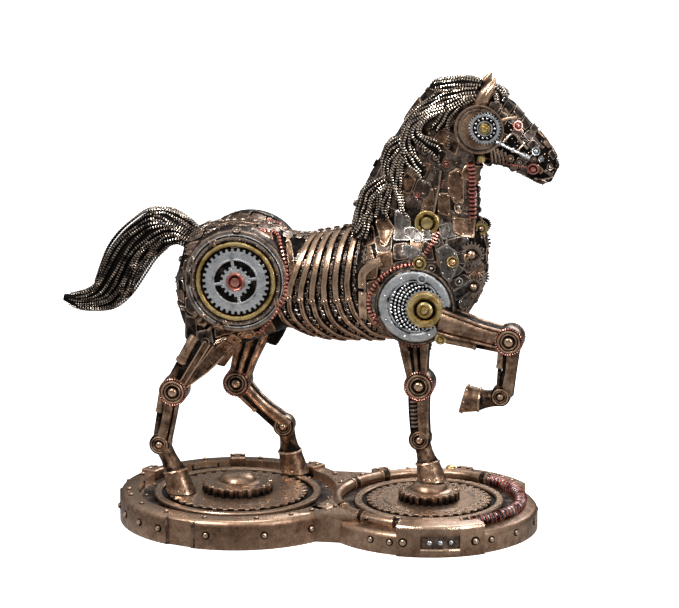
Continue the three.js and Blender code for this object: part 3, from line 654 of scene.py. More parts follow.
def line_of(stations):
    low, high = low_and_high(spline(stations, count=24))
    return Wrap((low + high) / 2, high - low, np.linalg.norm(high - low, axis=1) / 2 + 5)


trunk_x = np.linspace(-80, 76, 60)
trunk_rows = spline(TRUNK, step=1.0)
trunk_middle = np.interp(trunk_x, trunk_rows[:, 0], (trunk_rows[:, 1] + trunk_rows[:, 2]) / 2)
TRUNK_WRAP = Wrap([at(x, z) for x, z in zip(trunk_x, trunk_middle)], [UP] * len(trunk_x), 46)
NECK_WRAP = line_of(NECK)
HEAD_WRAP = line_of(HEAD)


def trunk_s(x):
    return (x - trunk_x[0]) / (trunk_x[-1] - trunk_x[0])


def on_trunk(x, angle):
    return TRUNK_WRAP(trunk_s(x), angle)


LONGEST_STEP = 6


def laid(lay, places):
    """Spots and normals on the body, or None where a place misses it or falls far from the last."""
    found = [lay(*p) for p in places]
    if any(f is None for f in found):
        return None
    spots = np.array([f[0] for f in found])
    if len(spots) > 1 and np.linalg.norm(np.diff(spots, axis=0), axis=1).max() > LONGEST_STEP:
        return None
    return spots, unit(np.array([f[1] for f in found]))


def rounded(outline, cut=0.2):
    """An outline with its corners cut round by a share of the sides, and points between."""
    outline = np.asarray(outline, float)
    made = []
    for i, corner in enumerate(outline):
        before, after = outline[i - 1], outline[(i + 1) % len(outline)]
        a, b = corner + (before - corner) * cut, corner + (after - corner) * cut
        made += [a, 0.25 * a + 0.5 * corner + 0.25 * b, b]
        made += [b + (after + (corner - after) * cut - b) * t for t in (1 / 3, 2 / 3)]
    return np.array(made)


def drape(target, lay, outline, thick=0.8, wear_and_shade=0.2, cut=0.2, sunk=0.7):
    """A plate laid on the body, if all of its outline, in the places that lay takes, meets it."""
    edge = rounded(outline, cut)
    centre = edge.mean(0)
    rim = laid(lay, edge)
    if rim is None:
        return False
    size = float(np.linalg.norm(rim[0] - rim[0].mean(0), axis=1).mean())
    bevel = min(0.35, thick * 0.5)
    inset = max(0.3, 1 - bevel / max(size, 0.5))
    # Dark at the foot as patina and painted shade, bright on the bevel as rubbed wear and painted
    # highlight.
    levels = [(1, -sunk, -1), (1, thick - bevel, -0.2), (inset, thick, 0.9), (inset * 0.86, thick, wear_and_shade),
              (0.45, thick, wear_and_shade)]
    rows = []
    for share, height, _ in levels:
        found = rim if share == 1 else laid(lay, centre + (edge - centre) * share)
        if found is None:
            return False
        rows.append(found[0] + found[1] * height)
    shell(target, rows, [level[2] for level in levels])
    return True


def rivets_on(target, lay, outline, thick, radius=0.6, share=0.72):
    """Rivets inside the corners of a plate."""
    outline = np.asarray(outline, float)
    centre = outline.mean(0)
    for p in outline:
        found = lay(*(centre + (p - centre) * share))
        if found:
            rivet(target, found[0] + found[1] * thick, found[1], radius)


def strap(target, lay, path, half, thick=0.9, wear_and_shade=0.3, step=1.2, sunk=0.7):
    """A strip laid on the body along a path of the places that lay takes."""
    line = np.asarray(path, float)
    line = np.hstack([line, np.zeros((len(line), 1))])
    found = laid(lay, spline(line, step=step)[:, :2])
    if found is None:
        return False
    spots, normals = found
    side = np.cross(directions(spots), normals)
    bevel = 0.35
    # Dark at the feet as patina and painted shade, bright on the bevels as rubbed wear and painted
    # highlight.
    shape = [(-half, -sunk, -1), (-half, thick - bevel, -0.2), (bevel - half, thick, 0.9),
             (0, thick + 0.15, wear_and_shade),
             (half - bevel, thick, 0.9), (half, thick - bevel, -0.2), (half, -sunk, -1)]
    rows = np.stack([spots + side * a + normals * b for a, b, _ in shape], 1)
    worn_and_shaded = np.tile([row[2] for row in shape], (len(rows), 1))
    shell(target, rows, worn_and_shaded)
    return True


# Small mechanical clutter that fills the cast surface


def small_gear(area, metal_name, spot, normal, radius, teeth=12):
    hub = Hub(area, spot, normal)
    hub.gear(metal_name, radius, radius * 0.2, teeth, radius * 0.45, -0.5, 0.9, 0.2)
    rivet(piece(area, "bronze"), spot + normal * 0.2, normal, radius * 0.38)


def coil(area, lay, start, end, radius):
    """A short beaded cable between two places."""
    found = laid(lay, [start + (end - start) * t for t in np.linspace(0, 1, 5)])
    if found:
        beaded(piece(area, "gunmetal"), found[0] + found[1] * radius * 0.8, radius, radius * 1.7)


def boss(area, metal_name, spot, normal, size):
    """A turned boss with a sunk ring."""
    rows = [(2.2, -0.5, -1), (2.2, 0.9, 0.7), (1.5, 1.0, 0.4), (1.3, 0.6, -0.8), (0.8, 0.6, -0.8),
            (0.7, 1.2, 0.6),
            (0.3, 1.4, 0.9)]
    turned(piece(area, metal_name), spot, normal, [(r * size, h, worn_and_shaded) for r, h, worn_and_shaded in rows], 14)


def fill_cell(area, lay, found, cell, draws, metals, size, bare):
    """One cell of the clutter: loose bolts, a plate, a gear, three cables or a boss."""
    (s0, s1), (a0, a1) = cell
    spot, normal = found
    corners = np.array([(s0, a0), (s1, a0), (s1, a1), (s0, a1)])
    corners = corners + (draws[:8].reshape(4, 2) - 0.5) * 0.28 * np.array([s1 - s0, a1 - a0])
    middle = corners.mean(0)
    corners = middle + (corners - middle) * 0.97
    chosen = metals[int(draws[8] * len(metals))]
    kind = (draws[9] - bare) / (1 - bare)
    if kind < 0:
        for t in draws[:6].reshape(3, 2):
            bolt = lay(s0 + (s1 - s0) * t[0], a0 + (a1 - a0) * t[1])
            if bolt:
                rivet(piece(area, chosen), *bolt, (0.5 + 0.5 * draws[10]) * size)
    elif kind < 0.62:
        thick = 0.55 + 0.5 * draws[10]
        if drape(piece(area, chosen), lay, corners, thick, 0.5 * draws[11] - 0.45):
            rivets_on(piece(area, chosen), lay, corners[: 2 + 2 * (draws[11] > 0.5)], thick, 0.55 * size)
    elif kind < 0.74:
        drape(piece(area, "gunmetal"), lay, corners, 0.4, -0.4)
        small_gear(area, "silver" if draws[10] < 0.4 else "gunmetal", spot + normal * 0.4, normal,
                   2.5 * size)
    elif kind < 0.86:
        drape(piece(area, chosen), lay, middle + (corners - middle) * 0.8, 0.5, 0.1)
        for t in (0.25, 0.5, 0.75):
            start, end = corners[:2] + (corners[[3, 2]] - corners[:2]) * t
            coil(area, lay, start, end, 0.6 * size)
    else:
        drape(piece(area, "gunmetal"), lay, corners, 0.45, -0.2)
        boss(area, chosen, spot, normal, size)


def clutter(area, lay, starts, angles, skip, metals, size=1.0, bare=0.0):
    """Plates, gears, cables and bolts in a jittered grid of cells about a wrap."""
    for i, (s0, s1) in enumerate(zip(starts, starts[1:])):
        shift = (i % 2) * 0.5 * (angles[1] - angles[0])
        for a0, a1 in zip(angles + shift, angles[1:] + shift):
            found = lay((s0 + s1) / 2, (a0 + a1) / 2)
            draws = random.random(12)
            if found and not skip(found[0]):
                fill_cell(area, lay, found, ((s0, s1), (a0, a1)), draws, metals, size, bare)


def near_disc(disc, radius):
    """Whether a place on the body lies under a disc of the rump or shoulder."""
    return lambda p: math.dist((p[0], p[2]), disc) < radius and abs(p[1] - sway(p[0])) > 15


def fill_body():
    clutter("rump", TRUNK_WRAP, trunk_s(np.linspace(-79, -27, 8)), np.linspace(-150, 150, 17),
            near_disc(HAUNCH, 25), ("bronze", "bronze", "gunmetal"))
    clutter("chest", TRUNK_WRAP, trunk_s(np.linspace(23, 76, 8)), np.linspace(-160, 160, 17),
            near_disc(SHOULDER, 19), ("bronze", "gunmetal", "pewter"))
    clutter("chest", on_side(FAR), np.linspace(26, 72, 7), np.linspace(136, 184, 7),
            near_disc(SHOULDER, 21), ("bronze", "gunmetal", "bronze"), 0.9, 0.2)
    clutter("neck", NECK_WRAP, np.linspace(0.3, 0.9, 7), np.linspace(-170, 170, 11),
            lambda p: False, ("gunmetal", "bronze", "gunmetal"), 0.8, 0.45)
    clutter("head", HEAD_WRAP, np.linspace(0.3, 0.98, 10), np.linspace(-180, 180, 15),
            lambda p: math.dist((p[0], p[2]), (75.5, GROUND + 193.5)) < 11,
            ("gunmetal", "gunmetal", "bronze"),
            0.56, 0.45)


def fill_breast():
    clutter("breast", on_breast, np.linspace(-16, 16, 6), GROUND + np.linspace(94, 156, 10),
            lambda p: not 71 < p[0] < 90, ("bronze", "gunmetal", "bronze"), 0.85, 0.1)


# How far ahead of its riveted end each part of a rib runs, by its angle from the top
RIB_LEAN = ((0, 16, 44, 64, 81, 102, 121, 133, 146, 160, 180), (10, 8, 4.5, 2, 0.5, 0, 1, 3, 7, 13, 17))
FIRST_RIB_END, RIB_SPACING = -17.0, 6.05
BITS_BEHIND_RIB = 34


def rib(lay, upper):
    """A rib: where it shows, an upper length that ends in a rivet, over a darker lower one."""
    bronze = piece("ribs", "bronze")
    if upper:
        strap(bronze, lay, [(0, a) for a in range(12, 104, 6)], 1.45, 2.0, 0.45, 3.0)
        spot, normal = lay(0, 101)
        turned(bronze, spot, normal, [(1.8, -0.5, -1), (1.8, 1.9, 0.2), (1.5, 2.2, 0.8), (0.9, 2.2, 0)])
        rivet(bronze, spot + normal * 2.1, normal, 0.75)
    strap(bronze, lay, [(0, a) for a in range(102, 172, 6)], 1.2, 1.1, -0.2, 3.0)


def behind_rib(lay):
    """Bolts and small blocks in the gap before the next rib."""
    dark, forward = piece("ribs", "gunmetal"), np.array([1.0, 0, 0])
    draws = random.random((BITS_BEHIND_RIB, 3))
    for row, angle in zip(draws, np.linspace(14, 168, BITS_BEHIND_RIB)):
        found = lay(RIB_SPACING / 2 + 0.9 * (row[0] - 0.5), angle)
        if found and row[1] < 0.35:
            rivet(dark, found[0] - found[1] * 0.1, found[1], 0.6 + 0.8 * row[1], 8, row[2])
        elif found:
            down = unit(np.cross(found[1], forward) + 0.6 * (row[2] - 0.5) * forward)
            block(dark, found[0], down, np.cross(found[1], down), 1.4 + 1.6 * row[2], 1.6, -0.6,
                  0.3 + 0.7 * row[1], 0.25, -0.5 + 0.6 * row[0])


def ribs():
    for side in SIDES:
        for k in range(-1, 7 if side == NEAR else 8):
            x = FIRST_RIB_END + k * RIB_SPACING

            def lay(t, angle, x=x, side=side):
                return on_trunk(x + t + np.interp(angle, *RIB_LEAN), side * angle)

            rib(lay, 0 <= k < (6 if side == NEAR else 8))
            behind_rib(lay)


def spine():
    """A smooth strip with low bumps along the topline, and small plates down both its sides."""
    dark = piece("spine", "gunmetal")
    for start, end in ((-78, -56), (-54, -33), (-31, 8)):
        strap(dark, on_trunk, [(x, 0) for x in np.linspace(start, end, 8)], 3.2, 0.7, 0.55, 1.5)
    for x in np.arange(-76, 22, 5.6):
        found = on_trunk(x, 0)
        if found:
            turned(dark, found[0], found[1], [(1.7, 0, -0.6), (1.6, 1.2, 0.6), (0.9, 1.7, 0.9)], 10)
    for x in np.arange(-32, 24, 4.3):
        for side in SIDES:
            draws = random.random(4)
            corners = [(x - 1.8, side * (8 + 3 * draws[0])), (x + 1.7, side * (8 + 3 * draws[1])),
                       (x + 1.9, side * (16 + 4 * draws[2])), (x - 1.5, side * (16 + 4 * draws[3]))]
            if drape(dark, on_trunk, corners, 1.0, 0.5):
                rivets_on(dark, on_trunk, corners[:1], 1.0, 0.5, 0.2)


def haunch_disc(side):
    """Dark rim, brass ring, toothed silver ring, and a small spoked wheel with a red hub."""
    hub = Hub("haunch", beside(*HAUNCH, 0, side), outward(side))
    hub.turn("gunmetal", [(27, 15, -1), (26.4, 23.4, -0.3), (25.4, 24.4, 0.8), (23.6, 24.6, 0.2),
                          (22.8, 24.2, -0.8)], 72)
    hub.ring("gunmetal", 22.7, 20.6, 23.5, 25.1, 0.4, 72, 0)
    hub.ring("silver", 23.9, 23.3, 23.5, 25.0, 0.2, 72)
    hub.ring("brass", 20.1, 17.9, 23, 26, 0.6, 72, 0.3)
    # A floor under the toothed ring, painted darkest as patina and the shade in the hollow.
    hub.turn("gunmetal", [(18, 20, -1), (18, 24.2, -1), (10, 24.3, -1)], 72)
    hub.gear("silver", 16.9, 1.5, 34, 11.2, 23.8, 25.5, 0.25, 0.5)
    hub.ring("silver", 11.8, 10.7, 23.8, 26.1, 0.3, 56, 0.6)
    hub.gear("silver", 7.8, 1.3, 16, 3.5, 23.8, 25.9, 0.25, 0.3)
    for angle in math.radians(100) + even(4):
        along = hub.at(1, angle, 0) - hub.centre
        block(piece("haunch", "silver"), hub.at(9, angle, 0), along, np.cross(hub.axis, along), 4.6, 1.6,
              23.8, 25.8)
    hub.turn("copper", [(4.8, 23, -1), (4.8, 26.2, 0.3), (4.1, 27, 0.8), (3.2, 26.6, -0.4),
                        (2.4, 26.6, -0.6),
                        (2.2, 27.4, 0.7), (0.8, 27.8, 0.6)], 32)
    hub.studs("gunmetal", 21.6, even(30), 25.3, 0.42, 6)


def shoulder_disc(side):
    """A wide silver rim, studs in arcs, and a brass ring about a knob off its middle."""
    axis = outward(side)
    rim, hub = Hub("shoulder", beside(*SHOULDER, 0, side), axis), Hub("shoulder",
                                                                      beside(*SHOULDER_HUB, 0, side), axis)
    rim.turn("gunmetal", [(20.4, 14, -1), (20, 22, -0.5), (19.2, 22.8, 0.5), (18, 22.6, -0.6)], 64)
    rim.ring("silver", 17.9, 13.4, 20, 24, 0.8, 64, 0.5)
    rim.ring("silver", 13.2, 12.2, 20, 23.4, 0.3, 56, 0.2)
    # A floor inside the rim, painted darkest as patina and the shade in the hollow.
    rim.turn("gunmetal", [(13.6, 18, -1), (13.6, 22.6, -1), (6, 22.7, -0.9)], 48)
    hub.gear("silver", 10.3, 0.9, 30, 8, 22, 24.3, 0.2, 0.1)
    for reach in (11.4, 13.3, 15.2, 17.1):
        inside = [a for a in np.arange(0, TURN, 1.75 / reach) if math.dist(hub.at(reach, a, 0)[::2],
                                                                           rim.centre[::2]) < 12.2]
        hub.studs("silver", reach, inside, 22.6, 0.68)
    hub.ring("brass", 9.1, 5.4, 21, 25.9, 0.9, 56, 0.5)
    # A floor under the brass ring, painted darkest as patina and the shade in the hollow.
    hub.turn("gunmetal", [(5.8, 20, -1), (5.8, 24.4, -1), (3, 24.5, -1)], 32)
    hub.turn("brass", [(4, 23, -1), (4, 25.6, 0.3), (3.3, 26.2, 0.8), (2.3, 26, 0), (1.8, 26, -0.4),
                       (1.5, 26.9, 0.8), (0.5, 27.2, 0.7)], 28)
    rim.studs("silver", 15.6, np.arange(1.2, 5.3, 0.8), 23.9, 0.6)
    Hub("shoulder", beside(48.6, GROUND + 119.4, 23.6, side), axis).ring("silver", 2.6, 1.3, -1, 1.2, 0.4,
                                                                         20, 0.6)


# Details of the near side, as the photo shows them: x and z from the underside. The far side
# has the same cables and discs, and plates of its own.

# Ribbed cables: area, metal, path, radius, pitch and sides
CABLES = [
    ("trunk", "copper", [(-34.3, 151.8), (-29.1, 148.2), (-25.3, 142.9), (-22.6, 136.4), (-21.4, 128.7),
                         (-22.4, 120.8),
                         (-26, 112.6), (-31.2, 105.6), (-36.6, 99.3)], 1.15, 2.0, 8),
    ("trunk", "copper", [(47.1, 140.9), (43.9, 140.3), (37.6, 138.7), (30, 134.5), (24.6, 128.7),
                         (22, 122.9),
                         (22, 115.8), (24.9, 109.9)], 1.35, 2.0, 8),
    ("trunk", "copper", [(55.6, 155.9), (52.4, 149.6), (48.7, 143.8)], 1.3, 1.6, 8),
    ("neck", "copper", [(69.6, 190), (69.9, 188.4), (70.2, 178.3), (70.5, 169.3), (70.7, 160.5)], 2.2,
     2.1, 10),
    ("neck", "copper", [(57.2, 181.4), (56.6, 179), (56.4, 176.6)], 0.8, 1.2, 8),
    ("neck", "gunmetal", [(60.9, 220.6), (60, 213.7), (59.8, 204), (59.4, 196.5)], 0.75, 1.3, 8),
    ("head", "copper", [(86.4, 190.6), (92, 189.2), (98.2, 188.2)], 0.7, 1.1, 8),
]
# Turned bosses: area, metal, x, z, radius and height
BUTTONS = [
    ("trunk", "copper", 24.9, 109.9, 2.1, 1.0), ("trunk", "copper", -34.6, 152, 1.7, 1.0),
    ("trunk", "brass", 49.8, 160, 6.2, 1.9), ("trunk", "brass", 47.1, 140.9, 3.4, 1.7),
    ("trunk", "brass", 62.6, 142, 3.0, 2.0), ("trunk", "copper", 62.6, 142, 1.7, 2.3),
    ("trunk", "bronze", -55.3, 102.8, 3.0, 1.4), ("trunk", "bronze", 64.6, 166.8, 2.3, 1.2),
    ("neck", "copper", 58.5, 189.1, 1.8, 1.0), ("neck", "copper", 44.4, 173.4, 1.5, 1.0),
    ("neck", "gunmetal", 64.5, 167.7, 2.5, 1.3), ("head", "copper", 93.1, 208.8, 2.6, 1.1),
    ("head", "copper", 101.3, 187.9, 3.0, 1.2), ("head", "bronze", 90, 193.2, 1.9, 0.9),
    ("head", "silver", 102.1, 196.4, 2.2, 1.0), ("head", "silver", 104.6, 192.6, 1.3, 0.9),
    ("head", "gunmetal", 108.9, 188.6, 1.7, 0.8),
]
# Strips: area, metal, path, half width, thickness and wear with painted shade and highlight
STRIPS = [
    ("neck", "gunmetal", [(55.9, 186), (55.2, 179), (53.8, 171), (52.6, 164.1)], 0.7, 1.6, 0.7),
    ("head", "bronze", [(84.9, 211.5), (88.4, 212.3), (92.2, 212.6)], 0.8, 1.4, 0.8),
    ("head", "bronze", [(86.7, 216.9), (89.2, 213.5)], 0.7, 1.2, 0.6),
    ("head", "gunmetal", [(86.5, 201.2), (91.3, 205.4), (95, 201.2), (98.2, 197.8)], 0.7, 1.3, 0.6),
    ("head", "gunmetal", [(93.8, 197.2), (96.7, 200.8)], 0.6, 1.2, 0.6),
    ("head", "gunmetal", [(98.9, 205.6), (102, 201.6), (105.4, 197.6)], 0.7, 0.9, 0.5),
    ("head", "gunmetal", [(101.6, 182.6), (106, 182.4), (110.4, 183.6)], 0.5, 0.7, 0.5),
]
# Plates: metal, outline and thickness
PLATES = [
    ("bronze", [(23.2, 159.3), (29.6, 162.1), (34, 156.2), (30.3, 147.4), (26.7, 149.1)], 1.5),
    ("pewter", [(38.3, 157.1), (43.8, 157.4), (48.5, 153.9), (49.2, 150.7), (44.1, 150.6), (38.4, 153.6)],
     1.2),
    ("pewter", [(37.7, 149.2), (42.8, 149.4), (47.9, 147.3), (47.2, 143.9), (37.9, 143.8)], 1.2),
    ("pewter", [(55.3, 159), (59.7, 160.1), (61.4, 155.9), (59.5, 151.9), (56.5, 153.2)], 1.2),
    ("pewter", [(54.8, 148), (59.7, 150.7), (64.5, 147.2), (66.1, 141.2), (64.2, 136.8), (61.3, 131.1),
                (57.5, 134.9), (56.5, 141.8)], 1.5),
    ("bronze", [(54.9, 175.1), (60.3, 174.7), (61, 162.8), (54.6, 164.6)], 1.5),
    ("bronze", [(61.4, 163.4), (67, 162.4), (72, 161.4), (72.4, 152.4), (67, 153.4), (62.5, 155.4)], 1.7),
    ("bronze", [(46.4, 175), (52.4, 177.4), (54, 167.6), (48.1, 166.8)], 1.0),
    ("bronze", [(59.3, 184.7), (64.5, 187.5), (67, 183.2), (67, 168.6), (61.9, 169.8), (58.9, 176.7)], 1.1),
    ("bronze", [(-23.6, 147), (-19.6, 143.6), (-17.4, 137), (-16.4, 125), (-18.6, 124.6), (-20.4, 136)],
     1.3),
]
ELBOW_STRAPS = [[(28, 140.8), (22.8, 138.2), (18.9, 133.8), (18.6, 126.6)],
                [(18.8, 124.8), (18.7, 118), (19, 111.4)]]
GEARS_AHEAD = [("gunmetal", (71.2, 145), 6.4), ("gunmetal", (72, 128.7), 5.2), ("brass", (75, 156), 3.8)]


def button(target, spot, normal, r, low):
    """A turned boss with a raised ring and a domed middle."""
    rows = [(r, -1.5, -1), (r, low, 0), (r * 0.92, low + 0.35, 0.8), (r * 0.72, low + 0.3, 0.1),
            (r * 0.64, low - 0.1, -0.9), (r * 0.5, low - 0.1, -0.8), (r * 0.46, low + 0.6, 0.4),
            (r * 0.22, low + 0.95, 0.8)]
    turned(target, spot, normal, rows, 24)


def fittings(wanted, side):
    """The cables, bosses and strips of one area, on one side."""
    lay = on_side(side)
    for area, metal_name, path, radius, pitch, sides in CABLES:
        if area == wanted:
            line = [spot + normal * radius * 0.55 for spot, normal in (lay(*place) for place in path)]
            beaded(piece(area, metal_name), line, radius, pitch, sides)
    for area, metal_name, x, z, radius, low in BUTTONS:
        if area == wanted:
            button(piece(area, metal_name), *lay(x, z), radius, low)
    for area, metal_name, path, half, thick, wear_and_shade in STRIPS:
        if area == wanted:
            strap(piece(area, metal_name), lay, path, half, thick, wear_and_shade, 1.2)


def trunk_details(side):
    lay = on_side(side)
    fittings("trunk", side)
    bronze = piece("trunk", "bronze")
    turned(bronze, *lay(-41.2, 98.9), [(3.7, -1.5, -1), (3.7, 1.2, 0.4), (3.2, 1.6, 0.8), (2.3, 1.6, 0),
                                       (2.2, 2.3, 0.6), (1.2, 2.5, 0.6)], 6)
    for metal_name, place, radius in GEARS_AHEAD:
        spot, normal = lay(*place)
        small_gear("chest", metal_name, spot + normal * radius * 0.22,
                   unit(normal * 0.15 + outward(side) * 0.85),
                   radius, 20)
    for metal_name, outline, thick in PLATES if side == NEAR else ():
        drape(piece("trunk", metal_name), lay, outline, thick, -0.15, 0.16)
        rivets_on(piece("trunk", metal_name), lay, outline, thick, 0.62, 0.76)
    for path in ELBOW_STRAPS:
        strap(bronze, lay, path, 2.4, 1.7, 0.5)
        for end in (path[0], path[-1]):
            spot, normal = lay(*(np.asarray(end) * 0.85 + np.asarray(path[1]) * 0.15))
            rivet(bronze, spot + normal * 1.8, normal, 0.8)
    for x, z in np.linspace((-67.6, 107.3), (-60.6, 100.4), 4):
        turned(bronze, lay(x, z)[0], (0.72, 0, -0.7),
               [(2.2, -0.9, 0), (2.7, -0.7, 0.7), (2.5, 0.6, 0.3), (2.0, 0.9, -0.8)], 12)
    for x, z in ((-54.6, 90), (-49.1, 94.4)):
        drape(bronze, lay, [(x - 4.4, z + 0.5), (x, z + 4.6), (x + 4.4, z + 0.5), (x, z - 3.8)], 1.3)
        spot, normal = lay(x, z)
        rivet(bronze, spot + normal * 1.3, normal, 0.9)


def throat():
    for side in SIDES:
        fittings("neck", side)
        loop = [(44.2 - 3 * math.cos(a), 172.6 + 3 * math.sin(a)) for a in np.linspace(-0.4, 3.4, 9)]
        strap(piece("neck", "gunmetal"), on_side(side), loop, 0.4, 0.9, 0.6, 0.8)
    for found in (NECK_WRAP(s, 180) for s in np.linspace(0.34, 0.9, 9)):
        if found:
            rivet(piece("neck", "gunmetal"), *found, 1.7, 10)


# Each ear's middle line: x and z from the ground, and w
EARS = {
    NEAR: [(73.4, 202.2, 7.4), (75.6, 206.6, 8.3), (78, 210.8, 8.3), (80.3, 214.4, 7.5),
           (82.2, 217.9, 6.9)],
    FAR: [(71, 202.6, 6.6), (72.6, 206.9, 7.3), (74.8, 211.4, 7.4), (76.8, 214.9, 7), (78.6, 218.1, 6.5)],
}


def ears():
    t = np.linspace(0, 1, 18)
    radii = np.interp(t, [0, 0.2, 0.5, 0.8, 1], [2.4, 3.3, 3.2, 2.0, 0.4])
    for side in SIDES:
        path = spline([at(x, z, w * side) for x, z, w in EARS[side]], count=len(t))
        tube(piece("head", "bronze"), path, radii, 16, 0.1 + 0.6 * t, outward(side), 0.62)
        dip = path[5:15] + outward(side) * 1.1 + np.array([0.9, 0, -0.5])
        tube(piece("head", "bronze"), dip, radii[5:15] * 0.5, 10, 0.8, outward(side), 0.7)


def face(side):
    """Cheek ring with its gear, rod to the mouth, eye, mouth disc, jaw bands and nostril."""
    lay, axis = on_side(side), outward(side)
    cheek, wheel = Hub("head", beside(74.8, 207.2, 0, side), axis), Hub("head",
                                                                        beside(77.8, 208, 0, side), axis)
    cheek.turn("gunmetal", [(12.3, 5, -1), (12.2, 10.6, 0.1), (11.7, 11.5, 0.9), (10.9, 11.4, 0.2),
                            (10.5, 10.6, -0.9)], 48)
    cheek.ring("gunmetal", 10.4, 8.6, 8, 11.2, 0.5, 44, 0.3)
    cheek.ring("bronze", 12.2, 11.5, 9, 11.9, 0.2, 48, 0.3)
    cheek.turn("bronze", [(11, 7, -1), (10.9, 10.6, -0.5), (10.2, 11, 0.1), (4, 11.2, 0.1)], 40)
    # A floor under the toothed wheel, painted darkest as patina and the shade in the hollow.
    wheel.turn("gunmetal", [(7.8, 7, -1), (7.8, 12, -1), (2, 12.1, -1)], 32)
    wheel.gear("silver", 8.1, 0.8, 32, 5.9, 9, 13.1, 0.3, 0.3)
    wheel.ring("silver", 3.9, 3.1, 11, 12.9, 0.2, 28, 0.3)
    wheel.studs("silver", 4.9, even(14), 12, 0.62)
    wheel.turn("brass", [(2.8, 10, -1), (2.8, 13.2, 0.2), (2.4, 13.8, 0.8), (1.7, 13.7, 0),
                         (1.4, 14.4, 0.8), (0.5, 14.7, 0.8)])
    start, end = beside(83.3, 201.5, 11.6, side), beside(99.4, 193.2, 8.2, side)
    tube(piece("head", "silver"), np.linspace(start, end, 6), [1.1, 0.9, 0.8, 0.8, 0.9, 1.2], 10, 0.6)
    for t in (0.1, 0.5, 0.9):
        spot = start + (end - start) * t
        turned(piece("head", "silver"), spot, end - start,
               [(1.3, -0.6, -0.4), (1.5, 0, 0.8), (1.3, 0.6, -0.4)], 10)
    fittings("head", side)
    turned(piece("head", "brass"), beside(75.9, 192.3, 9.6, side), axis,
           [(2.0, -2, -1), (2.1, 0, 0.3), (1.7, 1, 0.7), (0.9, 1.7, 0.9)])
    for k in range(5):
        x, z = 80.6 + 1.9 * k, 199.5 - 0.8 * k
        strap(piece("head", "gunmetal"), lay, [(x - 0.9, z), (x, z - 3.9), (x + 0.2, z - 8.7 + 0.4 * k)],
              0.75, 0.9, 0.3, 1.0)


# Mane and tail

STRAND, BEAD, STRAND_SPACING = 0.74, 1.38, 2.35
